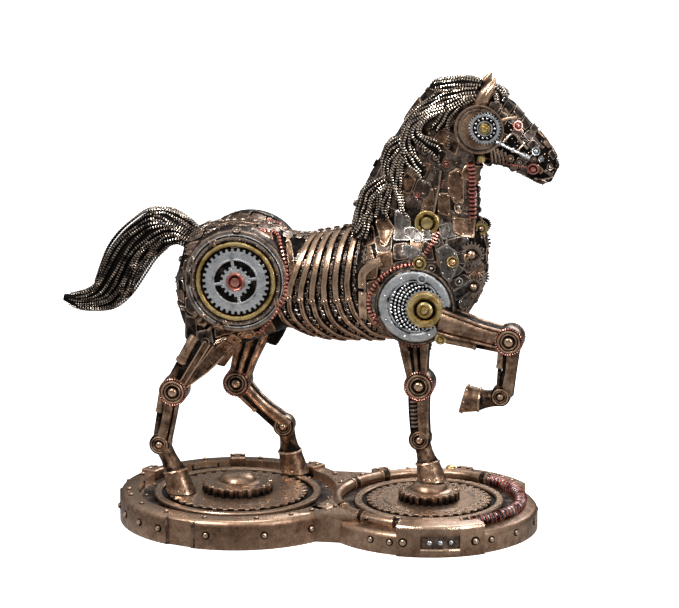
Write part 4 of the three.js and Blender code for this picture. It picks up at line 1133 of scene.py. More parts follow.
# Locks of the mane: outer and inner edge from root to tip in x, z from the underside and w, and
# the half thickness
LOCKS = [
    ([(74.3, 229.4, 0), (69, 231, 0.5), (61.8, 231.2, 1), (54.4, 229.9, 1.5), (49.5, 228.6, 2),
       (47.4, 227.2, 3)],
     [(74.9, 226.7, 6), (67.2, 227.4, 8), (60, 226.7, 9), (53.4, 225.9, 9), (49.4, 225.2, 8),
       (47.9, 226, 6)], 2.6),
    ([(73.4, 228.2, 2), (62.3, 227.2, 2.5), (54.9, 224.2, 3), (48.8, 220.5, 3), (43.7, 216.6, 3),
       (39.1, 212.7, 3),
      (36, 207.5, 3), (34.3, 200.9, 3)],
     [(73.8, 224.3, 9.5), (65.2, 222.9, 10.5), (57.8, 220.6, 11), (50.3, 217.2, 11), (44.2, 213.8, 11),
      (40.2, 209.6, 10.5), (38.1, 204.4, 10), (37.2, 198.8, 10)], 3.0),
    ([(57.8, 219.5, 11), (50.4, 216.3, 11.6), (43.4, 212.9, 11.6), (38.8, 208.1, 11), (36.3, 202, 11),
       (36.1, 195.1, 11.4),
      (38.6, 189.4, 12.6), (43.8, 184.9, 13.2), (47.8, 180.7, 13.4), (51.4, 179.4, 13)],
     [(59.4, 216.7, 11.5), (53.5, 214.6, 12.5), (47, 211.4, 13), (42, 206.6, 13), (40, 201, 13),
       (41.6, 195.7, 13.5),
      (44.8, 191, 13.8), (48.3, 187.2, 13.6), (51.4, 182.9, 13.4)], 1.8),
    ([(72, 224.6, 8), (65.4, 221.8, 10), (59.4, 218.6, 11), (55, 214.4, 11.6), (51.6, 208.6, 12),
       (49.4, 203.6, 12)],
     [(72.6, 222, 8.6), (67, 219.2, 10.6), (62.6, 215.4, 11.6), (59.4, 210, 12), (57.4, 205, 12)], 1.6),
    ([(50.5, 213.6, 13), (45.1, 209.9, 13.4), (42.1, 205.2, 13.6), (42.7, 201.3, 14), (47.3, 197.7, 14),
       (51.9, 195, 14),
      (54.8, 191.6, 13.4), (56.3, 188.6, 13)],
     [(54.6, 214.8, 12.6), (49.6, 211.6, 13.2), (46.2, 208, 13.6), (46.2, 204.5, 13.6),
       (50.3, 201.9, 13.6),
      (54.8, 200.6, 13), (56.3, 195.7, 13)], 1.3),
    ([(36.6, 202.1, 3), (32.7, 200, 3), (28.2, 197.8, 3), (25.4, 193.6, 3), (24.4, 187, 3),
       (24.2, 180.1, 4)],
     [(38.4, 197.2, 11), (35.4, 194, 11.6), (31.8, 189.8, 11.6), (29.8, 184.6, 11.6),
       (29.8, 179.6, 12)], 3.0),
    ([(36.4, 195.2, 12), (33.5, 190.1, 12.4), (31.5, 184.5, 12.6), (32.1, 178.1, 13.2), (33.8, 172.3, 14),
      (33.4, 167.5, 15), (34.5, 164.7, 15.6)],
     [(38.1, 191.4, 12.6), (36.1, 185.3, 13), (36.2, 178.4, 13.8), (35.9, 172.6, 14.8), (37.6, 166.9, 16),
      (40.3, 160.7, 17)], 1.5),
    ([(27.7, 181.7, 3), (22.7, 178.9, 3), (17.7, 176.2, 3), (14.2, 171.6, 3.5), (12.2, 166, 4.5),
       (11.3, 159.9, 5.5),
      (9.3, 154.9, 7), (7.7, 149.9, 9)],
     [(30, 177.8, 12), (25, 174.6, 13), (21.5, 170, 13.6), (19.6, 164.4, 14.4), (18.6, 158.4, 15.4),
       (16.8, 152.9, 16.6)],
     3.2),
    ([(29.6, 179.9, 13), (26.1, 174.3, 13.8), (24.1, 168.2, 14.6), (23.3, 162.8, 15.8),
       (21.9, 158.9, 17)],
     [(32.1, 178.1, 13.4), (30.2, 172.1, 14.4), (29.4, 167.3, 15.6), (29, 163.4, 16.6),
       (30.7, 159.7, 17.6)], 2.0),
    ([(16.4, 161.5, 14), (14, 156.6, 15.4), (11.5, 152.3, 16), (10.5, 149.7, 16.6)],
     [(21.8, 163.8, 15.6), (20.5, 158.9, 17), (19.1, 154, 18.4), (17.7, 150, 19.2)], 1.6),
    ([(80.6, 227.6, 0), (84.8, 226.4, 1), (87.5, 224.2, 2), (88.8, 221.2, 3)],
     [(80.3, 225.8, 6), (82, 223.8, 8), (83.1, 221, 9), (83.5, 218.2, 9.4)], 1.3),
]
# Locks that lie on the tail and give it its stepped edges
TAIL_LOCKS = [
    ([(-74.4, 149.2, 0), (-81.5, 153.8, 0), (-88.6, 156, 0), (-93, 155.6, 0), (-96.4, 153.6, 0)],
     [(-76, 144, 4), (-83, 148, 6), (-89, 150, 7), (-94, 151, 6), (-97.4, 151.6, 4)], 2.4),
    ([(-76.8, 138.9, 0), (-83.2, 137.2, 0), (-88.2, 134.2, 0), (-91.5, 131, 0), (-94.6, 129.4, 1)],
     [(-79, 142.5, 5), (-85, 142, 7), (-90.5, 139, 7), (-94.5, 135, 6), (-97, 131, 3)], 2.0),
    ([(-91.5, 133.4, 1), (-95.8, 129.3, 1), (-98.3, 124.5, 1), (-100.2, 119.6, 1), (-102.4, 117, 2)],
     [(-95, 139, 7), (-100, 134, 9), (-103, 128, 9), (-104.5, 122, 8), (-105, 118, 5)], 2.0),
    ([(-99.3, 124.8, 3), (-101.3, 119, 3), (-104, 114, 3), (-105.7, 109.6, 3), (-108.4, 106.2, 3)],
     [(-104, 128, 9), (-106.5, 121, 10), (-109, 115, 10), (-110.5, 110.5, 9), (-111, 107, 6)], 2.0),
]


def lock(name, edges, thick, seed, side=NEAR, top=0.85):
    """A flat core painted dark as the shade between the strands, with wavy beaded strands all round it that
    part towards the tip; top is how bright the bead tops are painted as highlights.
    """
    count = 3 + int(sum(math.dist(p, q) for p, q in zip(edges[0], edges[0][1:])) / 1.3)
    a, b = (spline([beside(*p, side) for p in edge], count=count) for edge in edges)
    t = np.linspace(0, 1, count)
    half = (b - a) / 2
    out = unit(np.cross(directions(a + b), half))
    out = out * np.sign(np.sum(out @ outward(side)))
    line = (a + b) / 2 - out * thick * 0.5
    height = out * (thick * (1 - 0.45 * t**2))[:, None]
    core = swept(line, half, height, 0.8 * np.cos(even(14)), 0.8 * np.sin(even(14)))
    # The core is painted darkest, as the shade between the strands.
    shell(piece(name, "gunmetal"), core[: int(count * 0.93)], -1.0)
    around = TURN * math.sqrt(((half**2).sum(1).mean() + thick**2) / 2)
    strands = max(5, round(around / STRAND_SPACING))
    draws = np.random.default_rng(seed).random((strands, 6))
    for k, row in enumerate(draws):
        angle = TURN * (k + 0.5 * row[0]) / strands
        wave = (0.25 + 0.5 * row[1]) * np.sin(TURN * (t * count / 11 + row[2])) * np.minimum(1, 3 * t)
        curl = (row[3] - 0.5) * 5 * np.maximum(0, t - 0.8) / 0.2
        path = line + half * math.cos(angle) + height * math.sin(angle) + unit(half) * (wave + curl)[:,
                                                                                                     None]
        path[0] += (path[1] - path[0]) * row[5]
        last = max(6, int(count * (0.84 + 0.16 * row[4])))
        beaded(piece(name, "strand"), path[:last], STRAND, BEAD, 6, ([0, 0.85, 1], [1, 0.95, 0.65]), top)


def mane():
    for k, (outer, inner, thick) in enumerate(LOCKS):
        lock("mane_near", (outer, inner), thick, 40 + k)
        lock("mane_far", (outer, inner), thick, 70 + k, FAR)


TAIL_STRANDS = 26


def tail():
    """Strands in threes round a core painted dark as the shade between them, and locks laid over them."""
    rows = spline(np.array([(*at(x, z, w), wide, deep) for x, z, w, wide, deep in TAIL]), step=2.0)
    line = rows[:, :3]
    along = directions(line)
    side = unit(ACROSS - along * along[:, 1:2])
    wide, deep = side * rows[:, 3:4], np.cross(along, side) * rows[:, 4:5]
    core = swept(line, wide, deep, 0.84 * np.cos(even(20)), 0.84 * np.sin(even(20)))
    # The core is painted darkest, as the shade between the strands.
    shell(piece("tail", "gunmetal"), core, -1.0)
    t = np.linspace(0, 1, len(line))
    draws = np.random.default_rng(11).random((TAIL_STRANDS, 4))
    for k, row in enumerate(draws):
        angle = TURN * (k + 0.4 * row[0]) / TAIL_STRANDS
        angle = angle + 0.09 * np.sin(5 * t + 2.1 * (k // 3)) + 0.05 * np.sin(17 * t + 9 * row[3])
        reach = 0.94 + 0.05 * math.cos(TURN * k / 3) + 0.03 * row[1]
        path = line + reach * (wide * np.cos(angle)[:, None] + deep * np.sin(angle)[:, None])
        path[0] += (path[1] - path[0]) * row[3] * 0.6
        last = int(len(line) * (0.9 + 0.1 * row[2]))
        beaded(piece("tail", "strand"), path[:last], STRAND, BEAD, 6, ([0, 0.85, 1], [1, 0.95, 0.55]), 0.3)
    for k, (outer, inner, thick) in enumerate(TAIL_LOCKS):
        lock("tail", (outer, inner), thick, 90 + k, NEAR, 0.3)


# Legs


def joint(area, x, z, w, radius, half, beads=True):
    """A round joint across a leg: copper beads, two bright rings, a dark dish and a knob each side."""
    r = radius
    for side in SIDES:
        hub = Hub(area, at(x, z, w), outward(side))
        if side == NEAR:
            hub.turn("gunmetal", [(r * 0.94, -half, -0.6), (r, 0.7 - half, 0.3), (r, half - 0.7, 0.3),
                                  (r * 0.94, half, -0.6)], 36)
        hub.ring("bronze", r * 0.83, r * 0.66, half - 1, half + 0.9, 0.4, 32, 0.5)
        hub.ring("bronze", r * 0.6, r * 0.47, half - 1, half + 0.6, 0.3, 28, 0.2)
        hub.turn("bronze", [(r * 0.34, half - 0.5, -1), (r * 0.34, half + 0.4, -0.2),
                            (r * 0.29, half + 1.0, 0.6),
                            (r * 0.18, half + 1.4, 0.9)], 14)
        if beads:
            path = [hub.at(r * 0.93, a, half - 0.1) for a in np.linspace(0, TURN, 49)]
            beaded(piece(area, "rust"), path, 0.62, TURN * r * 0.93 / int(TURN * r / 1.3))


FOOT_SIZES = [(4.2, 4.3), (4.0, 4.2), (4.5, 4.7), (5.4, 5.8), (6.0, 6.7), (6.6, 7.4)]


def foot(area, fetlock, coronet, sole, aim):
    """Pastern and hoof, with a band at the coronet, a row of rivets and a flat sole."""
    bronze = piece(area, "bronze")
    top, crown, ground = at(*fetlock), at(*coronet), at(*sole)
    pastern = unit(crown - top)
    hoof = unit(unit(ground - top) + aim)
    centres = [top, top + (crown - top) * 0.45, top + (crown - top) * 0.74, crown,
               crown + (ground - crown) * 0.55,
               ground]
    aims = np.array([pastern, pastern, unit(pastern + hoof), hoof, unit(hoof + aim), aim])
    sizes = np.array(FOOT_SIZES)
    across = unit(ACROSS - aims * aims[:, 1:2])
    angle = even(28)
    rows = swept(np.array(centres), across * sizes[:, :1], np.cross(aims, across) * sizes[:, 1:],
                 np.cos(angle),
                 np.sin(angle))
    fine = []
    for row, following in zip(rows, rows[1:]):
        fine += [row, (row + following) / 2]
    fine.append(rows[-1] + (rows[-2] - rows[-1]) * 0.04)
    edge = rows[-1].mean(0) + (rows[-1] - rows[-1].mean(0)) * 0.95
    shell(bronze, fine[:6], np.linspace(-0.2, -0.5, 6))
    shell(bronze, [*fine[5:], edge], (-0.8, 0, 0, 0, 0.2, 0.6, -0.6))
    tube(bronze, np.vstack([rows[3], rows[3][:2]]), 0.6, 8, 0.7)
    row = rows[4] * 0.35 + rows[5] * 0.65
    for place in row[::2]:
        rivet(bronze, place, place - row.mean(0), 0.6)


def piston(area, start, end, thick, thin, share=0.55):
    """A sleeve and the thinner rod that comes out of it."""
    a, b = at(*start), at(*end)
    c = a + (b - a) * share
    sleeve, rod = np.linalg.norm(c - a), np.linalg.norm(b - c)
    Hub(area, a, unit(b - a)).turn("bronze", [
        (thick * 0.8, 0, -0.5), (thick, 0.8, 0.4), (thick, sleeve - 1.6, 0.3),
        (thick * 1.14, sleeve - 1.4, 0.8),
        (thick * 1.14, sleeve, 0.6), (thick * 0.8, sleeve + 0.3, -0.6),
    ], 18)
    Hub(area, c, unit(b - a)).turn("bronze", [(thin, -0.5, -1), (thin, rod, 0.2)], 14)


def along_leg(points):
    """Rows of x, z, w, and the unit vectors in x and z along them and square to them."""
    line = np.asarray(points, float)
    way = np.gradient(line[:, :2], axis=0)
    way /= np.linalg.norm(way, axis=1)[:, None]
    return line, way, np.stack([-way[:, 1], way[:, 0]], 1)


def bars(area, points, sizes, shares):
    """A limb of long bronze bars over a core painted dark as the shade under them. Each bar has its place
    and its half width as shares of the limb's depth, and how far it stands out."""
    limb(piece(area, "gunmetal"), points, [(a * 0.84, b * 0.96) for a, b in sizes], wear_and_shade=SHADE_UNDER_PLATES)
    line, _, across = along_leg(points)
    for place, share, out in shares:
        for side in SIDES:
            path = [(p[0] + c[0] * place * b, p[1] + c[1] * place * b, p[2] + side * (a - 1.4 + out))
                    for p, c, (a, b) in zip(line, across, sizes)]
            limb(piece(area, "bronze"), path, [(1.5, share * b) for _, b in sizes], 14, 2.7, 0.2)


def edged(area, points, halves, thick=1.4):
    """A flat bar with a raised bright rail along each edge."""
    limb(piece(area, "bronze"), points, [(thick, half) for half in halves], 12, 4, -0.2)
    line, _, across = along_leg(points)
    for edge in (-0.86, 0.86):
        path = [at(p[0] + c[0] * half * edge, p[1] + c[1] * half * edge, p[2] + thick)
                for p, c, half in zip(line, across, halves)]
        tube(piece(area, "bronze"), path, 0.42, 8, 0.9)


DOWN = -UP
DOME_LIFT = 9


def near_hind_leg():
    area = "near_hind_leg"
    limb(piece(area, "gunmetal"), [(-60, 92, 14), (-66, 76, 17), (-72.6, 65, 17), (-79.4, 53, 17)],
         [(5.6, 12.2), (5.2, 8.4), (4.6, 6.4), (4, 4)], wear_and_shade=-0.6)
    piston(area, (-68.4, 82, 21), (-81.6, 57.6, 20.4), 2.75, 2.1, 0.6)
    edged(area, [(-62.2, 78.6, 21), (-68, 68.8, 20.6), (-75.6, 56.4, 19.8)], [1.9, 1.8, 1.6])
    edged(area, [(-56.4, 74.6, 19.4), (-64.4, 65.2, 19.2), (-74.6, 55.2, 18.6)], [4.2, 3.4, 1.7], 2)
    for ends in (((-65, 79.6, 20.6), (-77.4, 57.6, 20)), ((-60.4, 73.6, 20.6), (-73.2, 57.4, 20))):
        beaded(piece(area, "gunmetal"), [at(*place) for place in np.linspace(*ends, 7)], 0.8, 1.5)
    limb(piece(area, "bronze"), [(-66, 82, 12.4), (-71, 68, 12.2), (-78, 55, 12.6)],
         [(1.4, 6), (1.4, 5), (1.4, 3.4)])
    limb(piece(area, "bronze"), [(-52, 86, 9), (-54.5, 76, 9.6), (-57.4, 64.5, 9.6)],
         [(5, 8.6), (4.2, 6.4), (2.6, 2.2)])
    joint(area, -80.6, 51.6, 17, 7.2, 6.1)
    bars(area, [(-81.5, 53, 17), (-83, 40, 18.5), (-86, 26, 20)], [(4.3, 4.5), (3.9, 3.9), (4.2, 4.1)],
         [(-0.16, 0.6, 0.6), (0.82, 0.16, 0.2)])
    piston(area, (-87, 49, 17.5), (-90, 28, 20), 2.1, 1.5, 0.45)
    joint(area, -87.6, 24, 20, 5.4, 4.4, False)
    foot(area, (-86.4, 22.5, 20.5), (-79.6, 10.6, 22.6), (-75.9, 0, 23.6), DOWN)


def far_hind_leg():
    area = "far_hind_leg"
    bars(area, [(-42, 86, -14), (-46, 72, -17), (-50.4, 60, -19), (-53.5, 49, -20)],
         [(6.4, 10), (6, 7.8), (5, 6.4), (4.5, 5.6)],
         [(-0.7, 0.27, 0.7), (-0.02, 0.24, 0.9), (0.7, 0.25, 0.5)])
    joint(area, -54.2, 48.6, -20, 7, 6.1)
    bars(area, [(-53, 48, -20), (-43, 36.5, -22.5), (-33, 28, -24.5), (-29, 25, -25)],
         [(4.5, 4.4), (4.1, 4.2), (4.2, 4.8), (4.2, 4.8)], [(0.4, 0.58, 0.7)])
    piston(area, (-54.6, 43, -19), (-34.4, 24.4, -23.6), 1.9, 1.4, 0.5)
    joint(area, -30.4, 25.8, -25, 5.4, 4.4, False)
    foot(area, (-29.6, 23.5, -25.5), (-28, 11.5, -27.5), (-25.5, 0, -28.6), DOWN)


def far_fore_leg():
    area = "far_fore_leg"
    bars(area, [(39.6, 86, -12), (40, 76, -12), (41.2, 65, -11), (42.6, 57, -10)],
         [(6, 9.2), (5.7, 8), (5, 6.2), (4.6, 5.6)],
         [(-0.56, 0.32, 0.9), (0.12, 0.16, 0.4), (0.7, 0.27, 0.7)])
    skirt = [at(x, z, -5.6) for x, z in ((32.4, 79.6), (36.6, 78.2), (41.4, 77.8), (46.2, 79.4),
                                         (49.4, 81.4))]
    beaded(piece(area, "copper"), spline(skirt, step=1.0), 0.9, 1.7)
    joint(area, 43.2, 57.2, -10, 7.6, 6.1)
    bars(area, [(42.8, 56, -10), (43, 42, -9), (44, 30, -8)], [(4.5, 6), (4.1, 5.6), (4.3, 5.2)],
         [(0.42, 0.5, 0.7)])
    column = [at(*place) for place in np.linspace((40.4, 50, -5.2), (41.6, 34, -4.2), 7)]
    beaded(piece(area, "gunmetal"), column, 1.9, 2.1, 10)
    joint(area, 43.8, 29.4, -8, 5.6, 4.4, False)
    foot(area, (44.6, 27, -8), (47.8, 12 + DOME_LIFT * 0.6, -6.4), (50.6, DOME_LIFT, -5), DOWN)


def near_fore_leg():
    area = "near_fore_leg"
    limb(piece(area, "gunmetal"), [(50, 100.6, 17), (63, 97.6, 18)], [(5, 7.2), (5, 6)], wear_and_shade=-0.5)
    bars(area, [(57.6, 98.8, 18.4), (66, 96.6, 19), (78, 92.9, 18), (91, 89.6, 17)],
         [(6.1, 6.7), (5.9, 6.1), (5.4, 5.1), (5, 5)],
         [(0, 0.66, 0.5), (0.86, 0.13, 1.0), (-0.86, 0.13, 1.0)])
    piston(area, (60, 89.4, 20), (88, 84.4, 18.4), 2.5, 1.7)
    Hub(area, at(57.9, 89.4, 20), outward(NEAR)).turn("brass", [
        (2.6, -3.2, -1), (2.8, 2.6, 0.2), (2.2, 3.1, 0.7), (1.5, 2.9, -0.4), (1.1, 3.7, 0.8), (0.4, 4, 0.8),
    ])
    joint(area, 91.8, 89.6, 17, 7, 6.3)
    bars(area, [(93, 87, 17), (91.8, 74, 17.5), (89.8, 62, 18)], [(4.5, 4.4), (4, 3.8), (4.3, 4.4)],
         [(0.2, 0.68, 0.6)])
    piston(area, (87.6, 84.6, 18.6), (86.4, 64, 19), 1.7, 1.1, 0.45)
    joint(area, 87.8, 61.4, 18, 5, 4.5, False)
    foot(area, (87, 60, 18), (77, 58.4, 18), (68.6, 58.6, 18), unit([-0.965, 0, 0.26]))


# The plinth

HALF_SPACING = 49
PLINTH_TOP, SEAT, WELL_FLOOR, PINION_TOP, DOME_TOP = 15, 14, 11, 18.6, 23
REAR_RADIUS, FRONT_RADIUS = PLINTH_HALF, PLINTH_HALF - 5
REAR_RIM, FRONT_RIM = 9.5, 8.5
PIPE_RADIUS, PIPE_RING, SLEEVE = 3.2, FRONT_RADIUS - FRONT_RIM, 2.55
HOSE_HALF_ANGLE, HOSE_RIBS = 56, 34
REAR, FRONT = np.array([-HALF_SPACING, 0.0, 0.0]), np.array([HALF_SPACING, 0.0, 0.0])


def round_about(x, bearing, reach, z=0.0):
    """A place on a bearing in degrees about a disc's middle, and the way out there."""
    a = math.radians(bearing)
    way = np.array([math.cos(a), math.sin(a), 0.0])
    return np.array([x, 0.0, z]) + way * reach, way


def plinth_forms():
    """The forms that the plinth's one casting is joined and cut from, with how each is used."""
    r, well = FRONT_RADIUS, REAR_RADIUS - REAR_RIM

    def solid(name, build, *sizes):
        shape = Piece(name, "base")
        build(shape, *sizes)
        return shape

    yield None, solid("plinth", turned, REAR, UP, [(REAR_RADIUS, 0, 0), (REAR_RADIUS, 11.6, 0), (
        REAR_RADIUS - 0.25, 13, 0), (REAR_RADIUS - 1, 14.3, 0), (REAR_RADIUS - 2.3, PLINTH_TOP, 0)], 144)
    yield "UNION", solid("cutter", turned, FRONT, UP, [
        (r, 0, 0), (r, 8.4, 0), (r - 0.4, 9.8, 0), (r - 1.3, 10.9, 0), (r - 2.6, 11.4, 0),
        (PIPE_RING, 12.8, 0),
    ], 144)
    yield "UNION", solid("cutter", block, np.zeros(3), FRONT, ACROSS, 2 * HALF_SPACING, 76, 0, PLINTH_TOP,
                         0.01)
    yield "UNION", solid("cutter", curved_plate, HALF_SPACING, PIPE_RING, FRONT_RADIUS, 34, 78, 0,
                         PLINTH_TOP, 0.01)
    yield "DIFFERENCE", solid("cutter", turned, REAR, UP, [(well, WELL_FLOOR, 0), (well, 30, 0)], 120)
    yield "DIFFERENCE", solid("cutter", turned, FRONT, UP,
                              [(PIPE_RING, WELL_FLOOR, 0), (PIPE_RING, 30, 0)], 120)
    notches = Piece("cutter", "base")
    for x, bearing, radius in [(-HALF_SPACING, b, REAR_RADIUS) for b in (-109, -180,
                                                                         120)] + [(HALF_SPACING, 100, r)]:
        place, way = round_about(x, bearing, radius + 18.6)
        block(notches, place, way, np.cross(UP, way), 40, 13, -1, 13.5, 0.01)
    yield "DIFFERENCE", notches


def plinth_body():
    """The two discs as one casting, with its wells and notches cut and its edges eased."""
    casting, tools = None, []
    for operation, shape in plinth_forms():
        if casting is None:
            casting = shape.make()
            continue
        tools.append(shape.make())
        cut = casting.modifiers.new(operation, "BOOLEAN")
        cut.operation = operation
        cut.solver = "EXACT"
        cut.object = tools[-1]
    ease = casting.modifiers.new("ease", "BEVEL")
    ease.width = 0.5 * MM
    ease.segments = 2
    ease.limit_method = "ANGLE"
    ease.angle_limit = math.radians(40)
    mesh = applied(casting)
    for tool in tools:
        bpy.data.objects.remove(tool)
    shape = bmesh.new()
    shape.from_mesh(mesh)
    bmesh.ops.triangulate(shape, faces=shape.faces[:])
    shape.to_mesh(mesh)
    shape.free()
    # Coloured by height: a little darker at the very bottom, a dark band at 11.4 mm, and a painted
    # highlight along the top edge.
    set_wear_and_shade(mesh, np.interp(places_of(mesh)[:, 2], [0, 1, 11, 11.4, 14, 15],
                             [0.1, 0.3, 0.3, -0.3, 0.3, 0.6]))
    finish_mesh(mesh, 40)
    return place_object("plinth_body", mesh, "base")


def curved_plate(target, x, inner, outer, start, end, low, high, bevel=0.4, wear_and_shade=0.3):
    """A bevelled plate that follows a disc between two bearings in degrees."""
    steps = max(4, int(abs(end - start) / 3))
    ease = min(3 * bevel, (high - low) / 2, (outer - inner) / 3)
    shape = [(inner, low, -1), (inner, high - bevel, -0.4), (inner + bevel, high, 0.7),
             (outer - ease, high, 0.2),
             (outer - ease * 0.35, high - ease * 0.15, 0.8), (outer - ease * 0.1, high - ease * 0.45, 0.9),
             (outer, high - ease, 0.4), (outer, low, -0.2)]
    rows = [[round_about(x, bearing, reach, height)[0] for reach, height, _ in shape]
            for bearing in np.linspace(start, end, steps + 1)]
    shell(target, rows, np.tile([row[2] for row in shape], (steps + 1, 1)))


def turntable(name, x, ring_radius, gear_radius, teeth, pinion_radius, pinion_teeth):
    """A raised ring, a toothed disc with arc slots painted on it as thin plates of the darkened bronze, and
    a pinion with a dome on it.
    """
    hub = Hub(name, np.array([x, 0.0, 0.0]), UP)
    r = ring_radius
    # The well floor round the ring is the plinth bronze darkened as painted shade, and the ring's groove is
    # painted darkest as shade.
    hub.turn("well", [(r + 6, WELL_FLOOR - 1, -1), (r + 6, WELL_FLOOR + 0.6, -0.1),
                      (r, WELL_FLOOR + 0.6, -0.6)], 120)
    hub.turn("base", [(r, WELL_FLOOR, -1), (r, SEAT - 0.6, 0.2), (r - 0.5, SEAT, 0.9), (r - 3.2, SEAT, 0.4),
                      (r - 3.7, SEAT - 0.5, 0.6), (r - 3.7, SEAT - 1.8, -1),
                      (gear_radius - 5, SEAT - 1.8, -1)], 144)
    hub.gear("base", gear_radius, 2.0, teeth, pinion_radius - 3, SEAT - 1.9, SEAT, 0.35, 0.3)
    hub.gear("base", pinion_radius, 1.8, pinion_teeth, 6, SEAT - 0.5, PINION_TOP, 0.5, 0.35)
    dome = [(11.6, -2, -1), (11.6, 0.2, 0.3), (10.4, 0.5, 0.5), (9.4, 0.9, -0.3), (8.6, 2.6, 0.3),
            (7, 3.9, 0.6),
            (5.6, DOME_TOP - 0.05 - PINION_TOP, 0.7)]
    hub.turn("base", [(reach, PINION_TOP + height, wear_and_shade) for reach, height, wear_and_shade in dome], 48)
    middle = (gear_radius + pinion_radius) / 2 - 1
    # The arc slots: thin plates in the darkened bronze, painted as the shade inside slots.
    for bearing in (25, 115, 205, 295):
        curved_plate(piece(name, "well"), x, middle - 1.1, middle + 1.1, bearing - 15, bearing + 15,
                     SEAT - 1,
                     SEAT + 0.06, 0.05)
    for k in range(28):
        place, _ = round_about(x, 360 * k / 28, gear_radius - 5.2, SEAT)
        rivet(piece(name, "base"), place, UP, 0.5, 6, 0.5)


def rim_rivets(x, reach, bearings, z=PLINTH_TOP, radius=1.3):
    for bearing in bearings:
        rivet(piece("plinth_rivets", "base"), round_about(x, bearing, reach, z)[0], UP, radius, 12)


def side_rivets(x, reach, bearings, z=7.4, radius=1.5):
    """Rivets on a disc's wall, each in a thin ring painted dark as the shade of a groove round it."""
    for bearing in bearings:
        place, way = round_about(x, bearing, reach, z)
        turned(piece("plinth_rivets", "well"), place, way,
               [(radius * 1.35, -0.4, -1), (radius * 1.35, 0.12, -1)], 18)
        rivet(piece("plinth_rivets", "base"), place - way * 0.1, way, radius, 14)


def clamp(x, radius, rim, bearing):
    place, way = round_about(x, bearing, radius - rim / 2 - 0.6)
    block(piece("clamps", "base"), place, way, np.cross(UP, way), rim - 0.8, 8, 10, PLINTH_TOP + 1.5, 0.5,
          0.3)
    for shift in (-2.5, 2.5):
        rivet(piece("clamps", "base"), place + np.cross(UP, way) * shift + UP * (PLINTH_TOP + 1.5), UP,
              1.1, 10)


def pipes():
    """The ribbed hose round the front of the well and the plain pipe with sleeves round its back."""
    z = PLINTH_TOP - 1.1

    def arc(start, end, count):
        return np.array([round_about(HALF_SPACING, b, PIPE_RING, z)[0] for b in np.linspace(start, end,
                                                                                            count)])

    def hub(area, bearing):
        spot, way = round_about(HALF_SPACING, bearing, PIPE_RING, z)
        return Hub(area, spot, np.cross(UP, way))

    path = arc(-HOSE_HALF_ANGLE, HOSE_HALF_ANGLE, HOSE_RIBS * 4 + 1)
    between = np.arange(len(path)) % 4 == 2
    tube(piece("hose", "silver"), path, PIPE_RADIUS * np.where(between, 0.94, 0.66), 16,
         np.where(between, -0.2, -1.0), UP)
    for i in range(HOSE_RIBS):
        hub("hose", HOSE_HALF_ANGLE * (2 * i / HOSE_RIBS - 1)).turn("copper", [
            (2.2, -0.85, -1), (PIPE_RADIUS * 0.9, -0.6, -0.4), (PIPE_RADIUS, 0, 0.2),
            (PIPE_RADIUS * 0.9, 0.6, -0.4),
            (2.2, 0.85, -1),
        ], 18)
    tube(piece("pipe", "base"), arc(HOSE_HALF_ANGLE, 360 - HOSE_HALF_ANGLE, 110), SLEEVE, 16, 0.3, UP)
    for bearing in (-150, -128, -102, 153, 127, 100, 60, -60):
        hub("pipe", bearing).turn("base", [
            (2.4, -2.6, -1), (3.1, -2.4, 0.7), (3.1, -1.6, 0), (2.8, -1.4, -0.6), (2.8, 1.4, -0.6),
            (3.1, 1.6, 0),
            (3.1, 2.4, 0.7), (2.4, 2.6, -1),
        ], 20)


def front_panel():
    """A plate on the front disc's wall, in four parts about a window painted dark as shade, with three
    studs.
    """
    outer, top = FRONT_RADIUS + 1.6, PLINTH_TOP + 1
    for start, end, low, high, bevel in ((-99, -86.6, 0, top, 0.8), (-66.4, -53, 0, top, 0.8),
                                         (-86.8, -66.2, 0, 4.3, 0.5), (-86.8, -66.2, 10.6, top, 0.8)):
        curved_plate(piece("front_panel", "base"), HALF_SPACING, 40.5, outer, start, end, low, high, bevel)
    # The window is a plate of the darkened bronze, painted shade set back in the opening.
    curved_plate(piece("front_panel", "well"), HALF_SPACING, 45, outer - 1.1, -87.5, -65.5, 3, 12, 0.1)
    for bearing in (-82, -76.5, -71):
        place, way = round_about(HALF_SPACING, bearing, outer - 1.2, 7.4)
        rivet(piece("front_panel", "silver"), place, way, 1.3, 14)
    side_rivets(HALF_SPACING, outer, (-95.4, -58.4), 7.4, 1.7)


